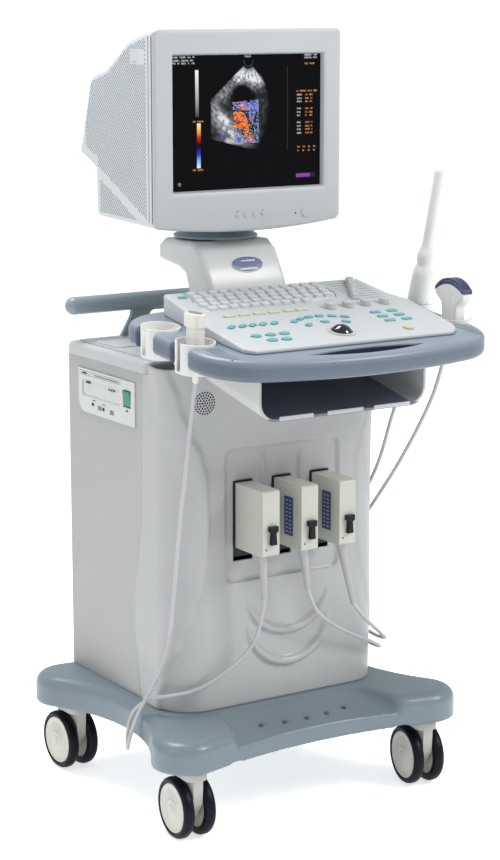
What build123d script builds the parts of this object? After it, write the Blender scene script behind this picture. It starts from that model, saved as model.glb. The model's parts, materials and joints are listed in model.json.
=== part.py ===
"""Mobile diagnostic ultrasound machine on four twin-wheel swivel casters.

Frame: +Z up, floor at Z = 0, operator stands on the -Y side, +X is the operator's right.
All lengths in millimetres, all angles in degrees.
"""
from build123d import *
from math import atan2, cos, degrees, hypot, pi, radians, sin, tan
import os

os.makedirs("parts", exist_ok=True)

# ---------------------------------------------------------------- driving dimensions
# Wheeled base
BASE_BOTTOM = 121
BASE_TOP = 172
BASE_EDGE_RADIUS = 20
BASE_WALL = 6
LOBE_RADIUS = 56
LOBE_X = 231
LOBE_FRONT_Y = -146
LOBE_REAR_Y = 248
WAIST_X = 228
WAIST_FRONT_Y = -171
WAIST_REAR_Y = 290
FRONT_POCKET_TOP = 138
REAR_POCKET_TOP = 158
POCKET_STEP_Y = -70

# Casters
STEM_X = 227
STEM_FRONT_Y = -158
STEM_REAR_Y = 230
STEM_RADIUS = 6
STEM_BORE_RADIUS = 6.05
CHASSIS_BOTTOM = 124
WHEEL_RADIUS = 50
WHEEL_TRAIL = 20
AXLE_RADIUS = 5
AXLE_BORE_RADIUS = 5.05

# Cabinet
CABINET_HALF_WIDTH = 204
CABINET_FRONT_Y = -71
CABINET_SEAM_Y = 27
CABINET_REAR_Y = 284
CABINET_CORNER_RADIUS = 60
CABINET_WALL = 6
SIDE_OUTER_X = 201.4
SIDE_THICKNESS = 3
SIDE_TOP = 720
FRONT_TOP = 735
LID_TOP = 740
LID_INSET_TOP = 742

# Probe connectors
CONNECTOR_X = (-74, 0, 74)
CONNECTOR_HALF_WIDTH = 16
CONNECTOR_BOTTOM = 438
CONNECTOR_TOP = 545
CONNECTOR_FRONT_Y = -149
CONNECTOR_REAR_Y = -41
SLOT_BOTTOM = 415
SLOT_TOP = 548
LEVER_Z = 483

# Console table, a slab tilted towards the operator
TABLE_TILT = 5.5
TABLE_REFERENCE_Y = -269
TABLE_TOP_Z = 790
TABLE_BOTTOM_Z = 757

# Control panel on the table
PANEL_TILT = 11.1
PANEL_REFERENCE_Y = -264
PANEL_TOP_Z = 798
WELL_DEPTH = 4
KEY_GAP = 0.5
KEY_TRAVEL = 2

# Monitor
COLUMN_HALF_WIDTH = 76
COLUMN_FRONT_Y = 31
COLUMN_TOP = 916
SWIVEL_Y = 135
TILT_AXIS_Z = 941
MONITOR_HALF_WIDTH = 178
MONITOR_FRONT_Y = 28
MONITOR_SEAM_Y = 36
MONITOR_BOTTOM = 948
MONITOR_TOP = 1260
MONITOR_REAR_Y = 339
SIDE_TAPER = 0.12
SHELL_WALL = 3.5
SCREEN_HALF_WIDTH = 142
SCREEN_BOTTOM = 1005
SCREEN_TOP = 1219

# Probes and cables
CABLE_RADIUS = 3.15
CUP_CENTRES = ((-232.5, -79), (-232.5, -182))
CUP_OUTER_RADIUS = 31.2
CUP_INNER_RADIUS = 28.5
RING_CENTRES = ((257, -84), (250, -190))
RING_OUTER_RADII = (25, 31)
RING_WALL = 2.5
RING_GAP = 3

FRONT = Plane(origin=(0, CABINET_FRONT_Y, 0), x_dir=(1, 0, 0), z_dir=(0, -1, 0))


def tilted_plane(reference_y, height, tilt):
    """Plane through (0, reference_y, height) that rises towards +Y by tilt degrees."""
    normal = (0, -sin(radians(tilt)), cos(radians(tilt)))
    return Plane(origin=(0, reference_y, height), x_dir=(1, 0, 0), z_dir=normal)


TABLE_TOP = tilted_plane(TABLE_REFERENCE_Y, TABLE_TOP_Z, TABLE_TILT)
TABLE_BOTTOM = tilted_plane(TABLE_REFERENCE_Y, TABLE_BOTTOM_Z, TABLE_TILT)
PANEL_TOP = tilted_plane(PANEL_REFERENCE_Y, PANEL_TOP_Z, PANEL_TILT)


def table_top_z(y):
    """Height of the table's upper face at y."""
    return TABLE_TOP_Z + (y - TABLE_REFERENCE_Y) * tan(radians(TABLE_TILT))


def table_bottom_z(y):
    """Height of the table's underside at y."""
    return TABLE_BOTTOM_Z + (y - TABLE_REFERENCE_Y) * tan(radians(TABLE_TILT))


def panel_top_z(y):
    """Height of the control panel's face at y."""
    return PANEL_TOP_Z + (y - PANEL_REFERENCE_Y) * tan(radians(PANEL_TILT))


def on_panel(x, y):
    """Local coordinates on the control panel's face of the plan point (x, y)."""
    return (x, (y - PANEL_REFERENCE_Y) / cos(radians(PANEL_TILT)))


# Routes of the three cables, from plug to probe or probe to plug
CABLE_ROUTES = {
    "cable_linear": [
        (-229.5, -177, 738),
        (-228, -161, 682),
        (-226, -144, 607),
        (-223, -121, 528),
        (-220, -101, 440),
        (-217, -84, 360),
        (-217, -69, 288),
        (-224, -44, 232),
        (-244, -26, 186),
        (-254, -12, 142),
        (-256, -3, 102),
        (-247, 14, 90),
        (-240, 30, 104),
        (-240, 24, 140),
        (-240, 0, 176),
        (-228, -34, 200),
        (-208, -62, 206),
        (-172, -80, 214),
        (-132, -85, 232),
        (-92, -97, 262),
        (-70, -112, 303),
        (-70, -124, 362),
    ],
    "cable_endocavity": [
        (14, -124, 366),
        (27, -119, 336),
        (52, -108, 310),
        (97, -99, 279),
        (156, -92, 250),
        (196, -76, 228),
        (221, -38, 213),
        (227, 12, 210),
        (228, 58, 232),
        (226, 80, 290),
        (223, 72, 362),
        (220, 38, 436),
        (217, -8, 492),
        (226, -31, 545),
        (243, -33, 606),
        (254, -52, 672),
        (257, -84, 726),
        (257, -84, 768),
    ],
    "cable_convex": [
        (104, -124, 330),
        (122, -119, 308),
        (152, -108, 282),
        (190, -92, 252),
        (222, -58, 232),
        (237, -6, 222),
        (240, 46, 228),
        (240, 88, 264),
        (238, 92, 326),
        (235, 60, 386),
        (221, 8, 434),
        (202, -50, 478),
        (209, -86, 527),
        (217.5, -119, 580),
        (229, -148, 638),
        (235, -172, 690),
        (238, -184, 736),
    ],
}


def cable_direction(name, first, second):
    """Direction of a cable's run from one numbered point of its route to another."""
    route = CABLE_ROUTES[name]
    return Vector(*route[second]) - Vector(*route[first])


def save(builder, name):
    """Label the finished part and write it as one STEP file."""
    builder.part.label = name
    export_step(builder.part, f"parts/{name}.step")


# ---------------------------------------------------------------- wheeled base
def waist_radius(half_span, lead):
    """Radius of the concave arc tangent to two lobes half_span off its axis.

    lead is how far the lobe centres stand beyond the waist, away from the arc's centre if negative.
    """
    numerator = half_span**2 + lead**2 - LOBE_RADIUS**2
    return numerator / (2 * (LOBE_RADIUS + lead))


def towards(start, target, distance):
    """Point at distance from start on the line to target."""
    length = hypot(target[0] - start[0], target[1] - start[1])
    dx = (target[0] - start[0]) * distance / length
    dy = (target[1] - start[1]) * distance / length
    return (start[0] + dx, start[1] + dy)


def draw_base_outline():
    """Four round lobes joined by shallow concave arcs, all tangent."""
    side_y = (LOBE_FRONT_Y + LOBE_REAR_Y) / 2
    side_radius = waist_radius((LOBE_REAR_Y - LOBE_FRONT_Y) / 2, LOBE_X - WAIST_X)
    front_radius = waist_radius(LOBE_X, WAIST_FRONT_Y - LOBE_FRONT_Y)
    rear_radius = waist_radius(LOBE_X, LOBE_REAR_Y - WAIST_REAR_Y)
    side_centre = (WAIST_X + side_radius, side_y)
    front_centre = (0, WAIST_FRONT_Y - front_radius)
    rear_centre = (0, WAIST_REAR_Y + rear_radius)
    front_lobe = (LOBE_X, LOBE_FRONT_Y)
    rear_lobe = (LOBE_X, LOBE_REAR_Y)
    front_end = towards(front_lobe, front_centre, LOBE_RADIUS)
    front_mid = towards(front_lobe, (LOBE_X + 1, LOBE_FRONT_Y - 1), LOBE_RADIUS)
    side_start = towards(front_lobe, side_centre, LOBE_RADIUS)
    side_end = towards(rear_lobe, side_centre, LOBE_RADIUS)
    rear_mid = towards(rear_lobe, (LOBE_X + 1, LOBE_REAR_Y + 1), LOBE_RADIUS)
    rear_end = towards(rear_lobe, rear_centre, LOBE_RADIUS)
    with BuildLine() as outline:
        ThreePointArc((-front_end[0], front_end[1]), (0, WAIST_FRONT_Y), front_end)
        ThreePointArc((-rear_end[0], rear_end[1]), (0, WAIST_REAR_Y), rear_end)
        for side in (1, -1):
            ends = [(side * x, y) for x, y in (front_end, front_mid, side_start)]
            ThreePointArc(*ends)
            ThreePointArc(ends[2], (side * WAIST_X, side_y), (side * side_end[0], side_end[1]))
            ThreePointArc(*[(side * x, y) for x, y in (side_end, rear_mid, rear_end)])
    make_face(outline.edges())


FOOTREST_SLOPE = 12.64
footrest_floor = Plane(
    origin=(0, -88, 168),
    x_dir=(1, 0, 0),
    z_dir=(0, -sin(radians(FOOTREST_SLOPE)), cos(radians(FOOTREST_SLOPE))),
)
with BuildPart() as footrest_cut:
    with BuildSketch(Plane.XY.offset(100)):
        with BuildLine():
            Polyline((-130, -88), (-187, -260), (187, -260), (130, -88), close=True)
        make_face()
    extrude(amount=120)
    fillet(footrest_cut.edges().filter_by(Axis.Z).sort_by(Axis.Y)[-2:], 18)
    split(bisect_by=footrest_floor, keep=Keep.TOP)

with BuildPart() as base_cover:
    with BuildSketch(Plane.XY.offset(BASE_BOTTOM)):
        draw_base_outline()
    extrude(amount=BASE_TOP - BASE_BOTTOM)
    fillet(base_cover.faces().sort_by(Axis.Z)[-1].edges(), BASE_EDGE_RADIUS)
    with BuildSketch(Plane.XY.offset(BASE_BOTTOM)):
        draw_base_outline()
        offset(amount=-BASE_WALL, mode=Mode.REPLACE)
    extrude(amount=FRONT_POCKET_TOP - BASE_BOTTOM, mode=Mode.SUBTRACT)
    with BuildSketch(Plane.XY.offset(BASE_BOTTOM)):
        draw_base_outline()
        offset(amount=-BASE_WALL, mode=Mode.REPLACE)
        with Locations((0, POCKET_STEP_Y + 200)):
            Rectangle(700, 400, mode=Mode.INTERSECT)
    extrude(amount=REAR_POCKET_TOP - BASE_BOTTOM, mode=Mode.SUBTRACT)
    add(footrest_cut.part, mode=Mode.SUBTRACT)
    with BuildSketch(footrest_floor):
        for x, drop in ((-84, 50), (-42, 55), (0, 57), (41, 55), (79, 50)):
            with Locations((x, -drop)):
                Circle(9)
    extrude(amount=-1.5, mode=Mode.SUBTRACT)
save(base_cover, "base_cover")

stems = [
    ("front_left", -STEM_X, STEM_FRONT_Y, -3),
    ("front_right", STEM_X, STEM_FRONT_Y, -9),
    ("rear_left", -STEM_X, STEM_REAR_Y, 2),
    ("rear_right", STEM_X, STEM_REAR_Y, 0),
]
front_stems = [(x, y) for _, x, y, _ in stems[:2]]
rear_stems = [(x, y) for _, x, y, _ in stems[2:]]

with BuildPart() as chassis_frame:
    with BuildSketch(Plane.XY.offset(CHASSIS_BOTTOM)):
        with Locations((0, -138)):
            Rectangle(2 * STEM_X, 36)
        with Locations((0, STEM_REAR_Y)):
            Rectangle(2 * STEM_X, 40)
        with Locations((190, 46), (-190, 46)):
            Rectangle(24, 368)
    extrude(amount=12)
    with BuildSketch(Plane.XY.offset(CHASSIS_BOTTOM)):
        with Locations(*front_stems):
            Circle(30)
    extrude(amount=FRONT_POCKET_TOP - CHASSIS_BOTTOM)
    with BuildSketch(Plane.XY.offset(CHASSIS_BOTTOM)):
        with Locations(*rear_stems):
            Circle(30)
    extrude(amount=REAR_POCKET_TOP - CHASSIS_BOTTOM)
    with BuildSketch(Plane.XY.offset(CHASSIS_BOTTOM)):
        with Locations(*front_stems, *rear_stems):
            Circle(STEM_BORE_RADIUS)
    extrude(amount=12, mode=Mode.SUBTRACT)
save(chassis_frame, "chassis_frame")


# ---------------------------------------------------------------- casters
def make_caster(name, x, y, swivel):
    """Fork and twin wheels of one caster, trailing towards +Y and turned by swivel about Z."""
    turn = radians(swivel)
    level = Plane(origin=(x, y, 0), x_dir=(cos(turn), sin(turn), 0), z_dir=(0, 0, 1))
    side = Plane(origin=(x, y, 0), x_dir=level.y_dir, z_dir=level.x_dir)
    hub = level.from_local_coords((0, WHEEL_TRAIL, WHEEL_RADIUS))
    across = Plane(origin=hub, x_dir=level.x_dir, z_dir=level.y_dir * -1)
    with BuildPart() as fork:
        with BuildSketch(side):
            with BuildLine():
                Polyline((-20, 112), (-17, 62), (4, 35), (36, 35), (46, 62), (50, 112), close=True)
            make_face()
        extrude(amount=8.5, both=True)
        with BuildSketch(level.offset(103)):
            with Locations((0, 15)):
                RectangleRounded(38, 78, 16)
        extrude(amount=15)
        fillet(fork.faces().sort_by(Axis.Z)[-1].edges(), 6)
        with BuildSketch(level.offset(117)):
            Circle(16)
        extrude(amount=6.7)
        with BuildSketch(level.offset(117)):
            Circle(STEM_RADIUS)
        extrude(amount=17)
        with BuildSketch(side):
            with Locations((WHEEL_TRAIL, WHEEL_RADIUS)):
                Circle(AXLE_RADIUS)
        extrude(amount=27, both=True)
    with BuildPart() as wheels:
        with BuildSketch(across):
            for s in (1, -1):
                with BuildLine():
                    Polyline(
                        (s * 9.6, AXLE_BORE_RADIUS),
                        (s * 27.3, AXLE_BORE_RADIUS),
                        (s * 27.3, 0),
                        (s * 28.6, 0),
                        (s * 28.6, 41),
                        (s * 29.4, 42),
                        (s * 28.6, 46),
                        (s * 25.5, 49),
                        (s * 21.5, WHEEL_RADIUS),
                        (s * 15.5, WHEEL_RADIUS),
                        (s * 11.5, 48.6),
                        (s * 9.6, 45),
                        close=True,
                    )
                make_face()
        revolve(axis=Axis(origin=hub, direction=level.x_dir), revolution_arc=360)
    save(fork, f"caster_fork_{name}")
    save(wheels, f"caster_wheels_{name}")


for stem in stems:
    make_caster(*stem)


# ---------------------------------------------------------------- cabinet
def draw_front_plan(inset):
    """Plan of the front cover: straight sides from the seam, large round front corners."""
    x = CABINET_HALF_WIDTH - inset
    y = CABINET_FRONT_Y + inset
    corner_x = CABINET_HALF_WIDTH - CABINET_CORNER_RADIUS
    corner_y = CABINET_FRONT_Y + CABINET_CORNER_RADIUS
    reach = (CABINET_CORNER_RADIUS - inset) * cos(radians(45))
    with BuildLine() as outline:
        Line((-x, CABINET_SEAM_Y), (-x, corner_y))
        ThreePointArc((-x, corner_y), (-corner_x - reach, corner_y - reach), (-corner_x, y))
        Line((-corner_x, y), (corner_x, y))
        ThreePointArc((corner_x, y), (corner_x + reach, corner_y - reach), (x, corner_y))
        Line((x, corner_y), (x, CABINET_SEAM_Y))
        Line((x, CABINET_SEAM_Y), (-x, CABINET_SEAM_Y))
    make_face(outline.edges())


LID_FRONT_Y = 13
with BuildPart() as cabinet_front_cover:
    with BuildSketch(Plane.XY.offset(BASE_TOP)):
        draw_front_plan(0)
    extrude(amount=FRONT_TOP - BASE_TOP)
    with BuildSketch(Plane.XY.offset(BASE_TOP)):
        draw_front_plan(CABINET_WALL)
    extrude(amount=SIDE_TOP - 4 - BASE_TOP, mode=Mode.SUBTRACT)
    with BuildSketch(Plane.XY.offset(SIDE_TOP)):
        with Locations((0, LID_FRONT_Y + 15)):
            Rectangle(2 * CABINET_HALF_WIDTH + 4, 30)
    extrude(amount=30, mode=Mode.SUBTRACT)
    with BuildSketch(FRONT):
        with Locations((0, 490)):
            RectangleRounded(220, 220, 14)
    extrude(amount=-2.5, mode=Mode.SUBTRACT)
    with BuildSketch(FRONT):
        with Locations((-148, 681)):
            Circle(17)
    extrude(amount=-4.5, mode=Mode.SUBTRACT)
    with BuildSketch(FRONT.offset(-3)):
        with Locations((-36, 505), (36, 505)):
            Rectangle(7, 160)
    extrude(amount=7)
    with BuildSketch(FRONT.offset(-3)):
        for ends_z, low_z, half in ((346, 292, 83), (316, 242, 80)):
            with BuildLine():
                ThreePointArc((-half, ends_z), (0, low_z), (half, ends_z))
                ThreePointArc((-half, ends_z - 6), (0, low_z - 6), (half, ends_z - 6))
                Line((-half, ends_z), (-half, ends_z - 6))
                Line((half, ends_z), (half, ends_z - 6))
            make_face()
    extrude(amount=5)
    with BuildSketch(FRONT):
        with Locations(*[(x, (SLOT_BOTTOM + SLOT_TOP) / 2) for x in CONNECTOR_X]):
            Rectangle(38, SLOT_TOP - SLOT_BOTTOM)
    extrude(amount=-CABINET_WALL - 1, mode=Mode.SUBTRACT)
save(cabinet_front_cover, "cabinet_front_cover")

MEDIA_Y = (56, 246)
MEDIA_Z = (626, 700)
side_length = CABINET_REAR_Y - CABINET_SEAM_Y
side_middle_y = (CABINET_REAR_Y + CABINET_SEAM_Y) / 2
with BuildPart() as cabinet_side_covers:
    with BuildSketch(Plane.XY.offset(BASE_TOP)):
        with Locations((SIDE_OUTER_X - SIDE_THICKNESS / 2, side_middle_y)):
            Rectangle(SIDE_THICKNESS, side_length)
        with Locations((-SIDE_OUTER_X + SIDE_THICKNESS / 2, side_middle_y)):
            Rectangle(SIDE_THICKNESS, side_length)
    extrude(amount=SIDE_TOP - BASE_TOP)
    with BuildSketch(Plane.YZ.offset(-SIDE_OUTER_X)):
        with Locations((sum(MEDIA_Y) / 2, sum(MEDIA_Z) / 2)):
            Rectangle(MEDIA_Y[1] - MEDIA_Y[0], MEDIA_Z[1] - MEDIA_Z[0])
    extrude(amount=SIDE_THICKNESS, mode=Mode.SUBTRACT)
save(cabinet_side_covers, "cabinet_side_covers")

inner_x = SIDE_OUTER_X - SIDE_THICKNESS
with BuildPart() as cabinet_rear_cover:
    with BuildSketch(Plane.XZ.offset(-CABINET_REAR_Y)):
        with Locations((0, (BASE_TOP + SIDE_TOP) / 2)):
            Rectangle(2 * inner_x, SIDE_TOP - BASE_TOP)
    extrude(amount=3)
    with BuildSketch(Plane.XZ.offset(-CABINET_REAR_Y)):
        for centre_z in (260, 600):
            with Locations((0, centre_z)):
                with GridLocations(36, 12, 7, 6):
                    SlotOverall(28, 5)
    extrude(amount=3, mode=Mode.SUBTRACT)
    with BuildSketch(Plane.XZ.offset(-CABINET_REAR_Y)):
        with Locations((-110, 420), (-110, 360)):
            RectangleRounded(60, 44, 4)
        with Locations((60, 400)):
            RectangleRounded(180, 100, 6)
    extrude(amount=1.2, mode=Mode.SUBTRACT)
save(cabinet_rear_cover, "cabinet_rear_cover")

with BuildPart() as cabinet_top_cover:
    with BuildSketch(Plane.XY.offset(SIDE_TOP)):
        with Locations((0, (LID_FRONT_Y + 284.5) / 2)):
            RectangleRounded(412, 284.5 - LID_FRONT_Y, 14)
    extrude(amount=LID_TOP - SIDE_TOP)
    fillet(cabinet_top_cover.faces().sort_by(Axis.Z)[-1].edges(), 8)
    with BuildSketch(Plane.XY.offset(LID_TOP)):
        with Locations((0, 148)):
            RectangleRounded(380, 245, 8)
    extrude(amount=LID_INSET_TOP - LID_TOP)
    with BuildSketch(Plane.XY.offset(LID_INSET_TOP)):
        with Locations((-137, 196), (137, 196)):
            RectangleRounded(90, 92, 8)
    extrude(amount=1.5)
save(cabinet_top_cover, "cabinet_top_cover")

with BuildPart() as internal_electronics:
    with BuildSketch(Plane.XY.offset(BASE_TOP)):
        with Locations((0, 160)):
            Rectangle(300, 200)
    extrude(amount=10)
    for x in (-149, 149):
        with BuildSketch(Plane.XY.offset(BASE_TOP + 10)):
            with Locations((x, 160)):
                Rectangle(2, 200)
        extrude(amount=400)
    with BuildSketch(Plane.XY.offset(BASE_TOP + 10)):
        with Locations((0, 160)):
            Rectangle(296, 150)
    extrude(amount=90)
    for board in range(9):
        with BuildSketch(Plane.XY.offset(BASE_TOP + 100)):
            with Locations((-120 + 30 * board, 160)):
                Rectangle(2, 180)
        extrude(amount=300)
    with BuildSketch(Plane.XY.offset(BASE_TOP + 400)):
        with Locations((0, 160)):
            Rectangle(300, 190)
    extrude(amount=10)
save(internal_electronics, "internal_electronics")

# Media panel set into the left side cover
PANEL_OUTER_X = -203.5
DRIVE_Y = (102, 241)
DRIVE_Z = 693
ROCKER_Y = 81.5
ROCKER_Z = 669.5
media_face = Plane(origin=(PANEL_OUTER_X, 0, 0), x_dir=(0, -1, 0), z_dir=(-1, 0, 0))
with BuildPart() as media_panel:
    with BuildSketch(media_face.offset(-13)):
        with Locations((-sum(MEDIA_Y) / 2, sum(MEDIA_Z) / 2)):
            Rectangle(MEDIA_Y[1] - MEDIA_Y[0], MEDIA_Z[1] - MEDIA_Z[0])
    extrude(amount=13)
    with BuildSketch(media_face):
        with Locations((-sum(DRIVE_Y) / 2, DRIVE_Z)):
            Rectangle(DRIVE_Y[1] - DRIVE_Y[0], 7)
    extrude(amount=-13, mode=Mode.SUBTRACT)
    with BuildSketch(media_face):
        with Locations((-ROCKER_Y, ROCKER_Z)):
            Rectangle(25, 29)
    extrude(amount=-11, mode=Mode.SUBTRACT)
    with BuildSketch(media_face):
        with Locations((-173, 640), (-132, 639)):
            RectangleRounded(14, 8, 2)
    extrude(amount=-6, mode=Mode.SUBTRACT)
    with BuildSketch(media_face):
        with Locations((-170, 668)):
            RectangleRounded(126, 28, 3)
    extrude(amount=-2, mode=Mode.SUBTRACT)
save(media_panel, "media_panel")

with BuildPart() as disc_tray:
    with BuildSketch(Plane.XY.offset(DRIVE_Z - 2)):
        with Locations((-131.5, sum(DRIVE_Y) / 2)):
            Rectangle(140, DRIVE_Y[1] - DRIVE_Y[0] - 3)
    extrude(amount=4)
    with BuildSketch(Plane.XY.offset(DRIVE_Z + 2)):
        with Locations((-131.5, sum(DRIVE_Y) / 2)):
            Circle(61)
    extrude(amount=-1.5, mode=Mode.SUBTRACT)
    with BuildSketch(media_face):
        with Locations((-sum(DRIVE_Y) / 2, DRIVE_Z)):
            RectangleRounded(DRIVE_Y[1] - DRIVE_Y[0] - 2, 6, 1)
    extrude(amount=-3)
save(disc_tray, "disc_tray")

with BuildPart() as power_rocker:
    with BuildSketch(Plane.XZ.offset(-ROCKER_Y)):
        with BuildLine():
            Polyline(
                (PANEL_OUTER_X + 8, ROCKER_Z - 8),
                (PANEL_OUTER_X + 1, ROCKER_Z - 13),
                (PANEL_OUTER_X - 0.5, ROCKER_Z),
                (PANEL_OUTER_X - 3, ROCKER_Z + 13),
                (PANEL_OUTER_X + 4, ROCKER_Z + 13),
                (PANEL_OUTER_X + 8, ROCKER_Z + 8),
                close=True,
            )
        make_face()
    extrude(amount=11.5, both=True)
save(power_rocker, "power_rocker")

# Sockets behind the front cover and the plugs of the three probes
with BuildPart() as probe_port_sockets:
    with BuildSketch(FRONT.offset(-CABINET_WALL - 1.2)):
        with Locations(*[(x, (CONNECTOR_TOP + CONNECTOR_BOTTOM) / 2) for x in CONNECTOR_X]):
            Rectangle(50, 140)
    extrude(amount=-42)
    with BuildSketch(FRONT.offset(-CABINET_WALL - 1.2)):
        with Locations(*[(x, (CONNECTOR_TOP + CONNECTOR_BOTTOM) / 2) for x in CONNECTOR_X]):
            Rectangle(2 * CONNECTOR_HALF_WIDTH + 0.6, CONNECTOR_TOP - CONNECTOR_BOTTOM + 0.6)
    extrude(amount=-22.8, mode=Mode.SUBTRACT)
save(probe_port_sockets, "probe_port_sockets")

BOOT_Y = -124
BOOT_TOP_RADIUS = 8
BOOT_TIP_RADIUS = 4.6
boots = (
    ((-74, BOOT_Y, CONNECTOR_BOTTOM), "cable_linear", -1, -2),
    ((3, BOOT_Y, CONNECTOR_BOTTOM), "cable_endocavity", 0, 1),
    ((77, BOOT_Y, CONNECTOR_BOTTOM), "cable_convex", 0, 1),
)


def tapered_boot(start, end, start_radius, start_normal, end_normal):
    """Strain relief from start down to a cable's end at end, into the active part."""
    with BuildSketch(Plane(origin=start, z_dir=start_normal)) as root:
        Circle(start_radius)
    with BuildSketch(Plane(origin=end, z_dir=end_normal)) as tip:
        Circle(BOOT_TIP_RADIUS)
    loft([root.sketch, tip.sketch])


with BuildPart() as probe_connectors:
    for x in CONNECTOR_X:
        with BuildSketch(FRONT.offset(CABINET_FRONT_Y - CONNECTOR_FRONT_Y)):
            with Locations((x, (CONNECTOR_TOP + CONNECTOR_BOTTOM) / 2)):
                Rectangle(2 * CONNECTOR_HALF_WIDTH, CONNECTOR_TOP - CONNECTOR_BOTTOM)
        extrude(amount=CONNECTOR_FRONT_Y - CONNECTOR_REAR_Y + 1)
    fillet(probe_connectors.edges().filter_by(Axis.X).group_by(Axis.Y)[0], 5)
    for root_point, cable_name, end, inner in boots:
        tip_point = CABLE_ROUTES[cable_name][end]
        tip_normal = cable_direction(cable_name, end, inner)
        tapered_boot(root_point, tip_point, BOOT_TOP_RADIUS, (0, 0, -1), tip_normal)
    for x in CONNECTOR_X:
        with BuildSketch(FRONT.offset(CABINET_FRONT_Y - CONNECTOR_FRONT_Y)):
            with Locations((x + 2, LEVER_Z)):
                Circle(5.05)
        extrude(amount=-12, mode=Mode.SUBTRACT)
save(probe_connectors, "probe_connectors")

for number, x in enumerate(CONNECTOR_X, start=1):
    lever_face = FRONT.offset(CABINET_FRONT_Y - CONNECTOR_FRONT_Y)
    with BuildPart() as connector_lever:
        with BuildSketch(lever_face.offset(-10)):
            with Locations((x + 2, LEVER_Z)):
                Circle(5)
        extrude(amount=12)
        with BuildSketch(lever_face.offset(1)):
            with BuildLine():
                Polyline(
                    (x - 6, LEVER_Z + 5),
                    (x + 10, LEVER_Z + 5),
                    (x + 10, LEVER_Z - 3),
                    (x + 6, LEVER_Z - 6),
                    (x + 7.5, LEVER_Z - 25),
                    (x - 3.5, LEVER_Z - 25),
                    (x - 2, LEVER_Z - 6),
                    (x - 6, LEVER_Z - 3),
                    close=True,
                )
            make_face()
        extrude(amount=7)
        fillet(connector_lever.faces().sort_by(Axis.Y)[0].edges(), 1.5)
    save(connector_lever, f"connector_lever_{number}")

# ---------------------------------------------------------------- console table
with BuildPart() as ball_cut:
    with BuildSketch(Plane.YZ):
        with BuildLine():
            Line((0, -19.5), (0, 19.5))
            ThreePointArc((0, -19.5), (19.5, 0), (0, 19.5))
        make_face()
    revolve(axis=Axis.Z, revolution_arc=360)

BALL_X = 0
BALL_Y = -233
BALL_SINK = 7
ball_plane = Plane(
    origin=(BALL_X, BALL_Y, panel_top_z(BALL_Y)), x_dir=(1, 0, 0), z_dir=PANEL_TOP.z_dir
)
ball_centre = ball_plane.from_local_coords((0, 0, -BALL_SINK))


def draw_table_outline():
    """Plan of the table: curved front and front corners, straight sides, rounded rear corners."""
    with BuildLine() as outline:
        front = ThreePointArc((-190, -316), (0, -339), (190, -316))
        TangentArc((190, -316), (262, -225), tangent=front % 1)
        TangentArc((-190, -316), (-262, -225), tangent=(front % 0) * -1)
        for s in (1, -1):
            Line((s * 262, -225), (s * 262, -45))
            Spline(
                (s * 262, -45),
                (s * 242, -3),
                (s * 150, 28),
                tangents=((0, 1), (-s, 0)),
            )
        Line((150, 28), (-150, 28))
    make_face(outline.edges())


with BuildPart() as console_table:
    with BuildSketch(Plane.XY.offset(700)):
        draw_table_outline()
    extrude(amount=150)
    split(bisect_by=TABLE_TOP, keep=Keep.BOTTOM)
    split(bisect_by=TABLE_BOTTOM, keep=Keep.TOP)
    fillet(console_table.faces().sort_by(SortBy.AREA)[-2:].edges(), 9)
    with BuildSketch(Plane.XY.offset(700)):
        with BuildLine():
            ThreePointArc((-107, -304), (0, -322), (107, -304))
            ThreePointArc((-107, -304), (0, -290), (107, -304))
        make_face()
        for (x, y), half in zip(CUP_CENTRES, (27, 27)):
            with Locations((x, y)):
                Circle(CUP_OUTER_RADIUS + 0.6)
            with Locations((x - 30, y)):
                Rectangle(60, 2 * half)
        for (x, y), radius in zip(RING_CENTRES, RING_OUTER_RADII):
            with Locations((x, y)):
                Circle(radius + RING_GAP)
    extrude(amount=150, mode=Mode.SUBTRACT)
    with Locations(ball_centre):
        add(ball_cut.part, mode=Mode.SUBTRACT)
save(console_table, "console_table")

# ---------------------------------------------------------------- control panel and keys
KEY_PITCH = 19.6
KEY_ROWS = ((-19, -141, 13), (-36, -141, 13), (-53, -146, 13), (-71, -150, 13), (-89, -145, 10))
SOFT_KEYS = (-137, -110, -82, -55, -26, -3)
OVAL_KEYS = (-162, -142, -124, -105, -84)
CLUSTER_KEYS = ((-147, -218), (-121, -218), (-96, -218), (-132, -240), (-107, -241))
ARC_KEYS = ((-48, -173), (-31, -165), (-12, -160), (8, -160), (29, -165), (48, -173))
INNER_ARC_KEYS = ((-34, -193), (1, -186), (36, -194))
RIGHT_KEYS = [(x, y) for x in (112, 145) for y in (-166, -186, -206)]
KNOB_X = (49, 84, 119, 156)
KNOB_Y = -128
SLIDER_X = (117, 181)
SLIDER_ROWS = [-21 - 11 * row for row in range(8)]
SLIDER_CAP_X = [163 - 6 * row for row in range(8)]


def draw_keyboard_area(inset):
    """Outline of the well that holds the five rows of the keyboard, drawn in by inset."""
    corners = (
        (-150.5, -9),
        (106, -9),
        (106, -62),
        (96, -81),
        (38, -99),
        (-160.5, -99),
        (-160.5, -62),
        (-155.5, -44.5),
        (-150.5, -43.5),
    )
    with BuildLine() as outline:
        Polyline(*[on_panel(x, y) for x, y in corners], close=True)
    area = make_face(outline.edges())
    if inset:
        offset(area, amount=-inset, mode=Mode.REPLACE)


def draw_keyboard():
    """Sixty-two key tops in five rows."""
    for y, left, count in KEY_ROWS:
        spots = [on_panel(left + KEY_PITCH * i, y) for i in range(count)]
        with Locations(*spots):
            RectangleRounded(15, 13.5, 2)


def draw_soft_keys(grow):
    """Row of six long keys under the keyboard."""
    with Locations(*[on_panel(x, -126) for x in SOFT_KEYS]):
        RectangleRounded(20 + 2 * grow, 9 + 2 * grow, 3)


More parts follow.
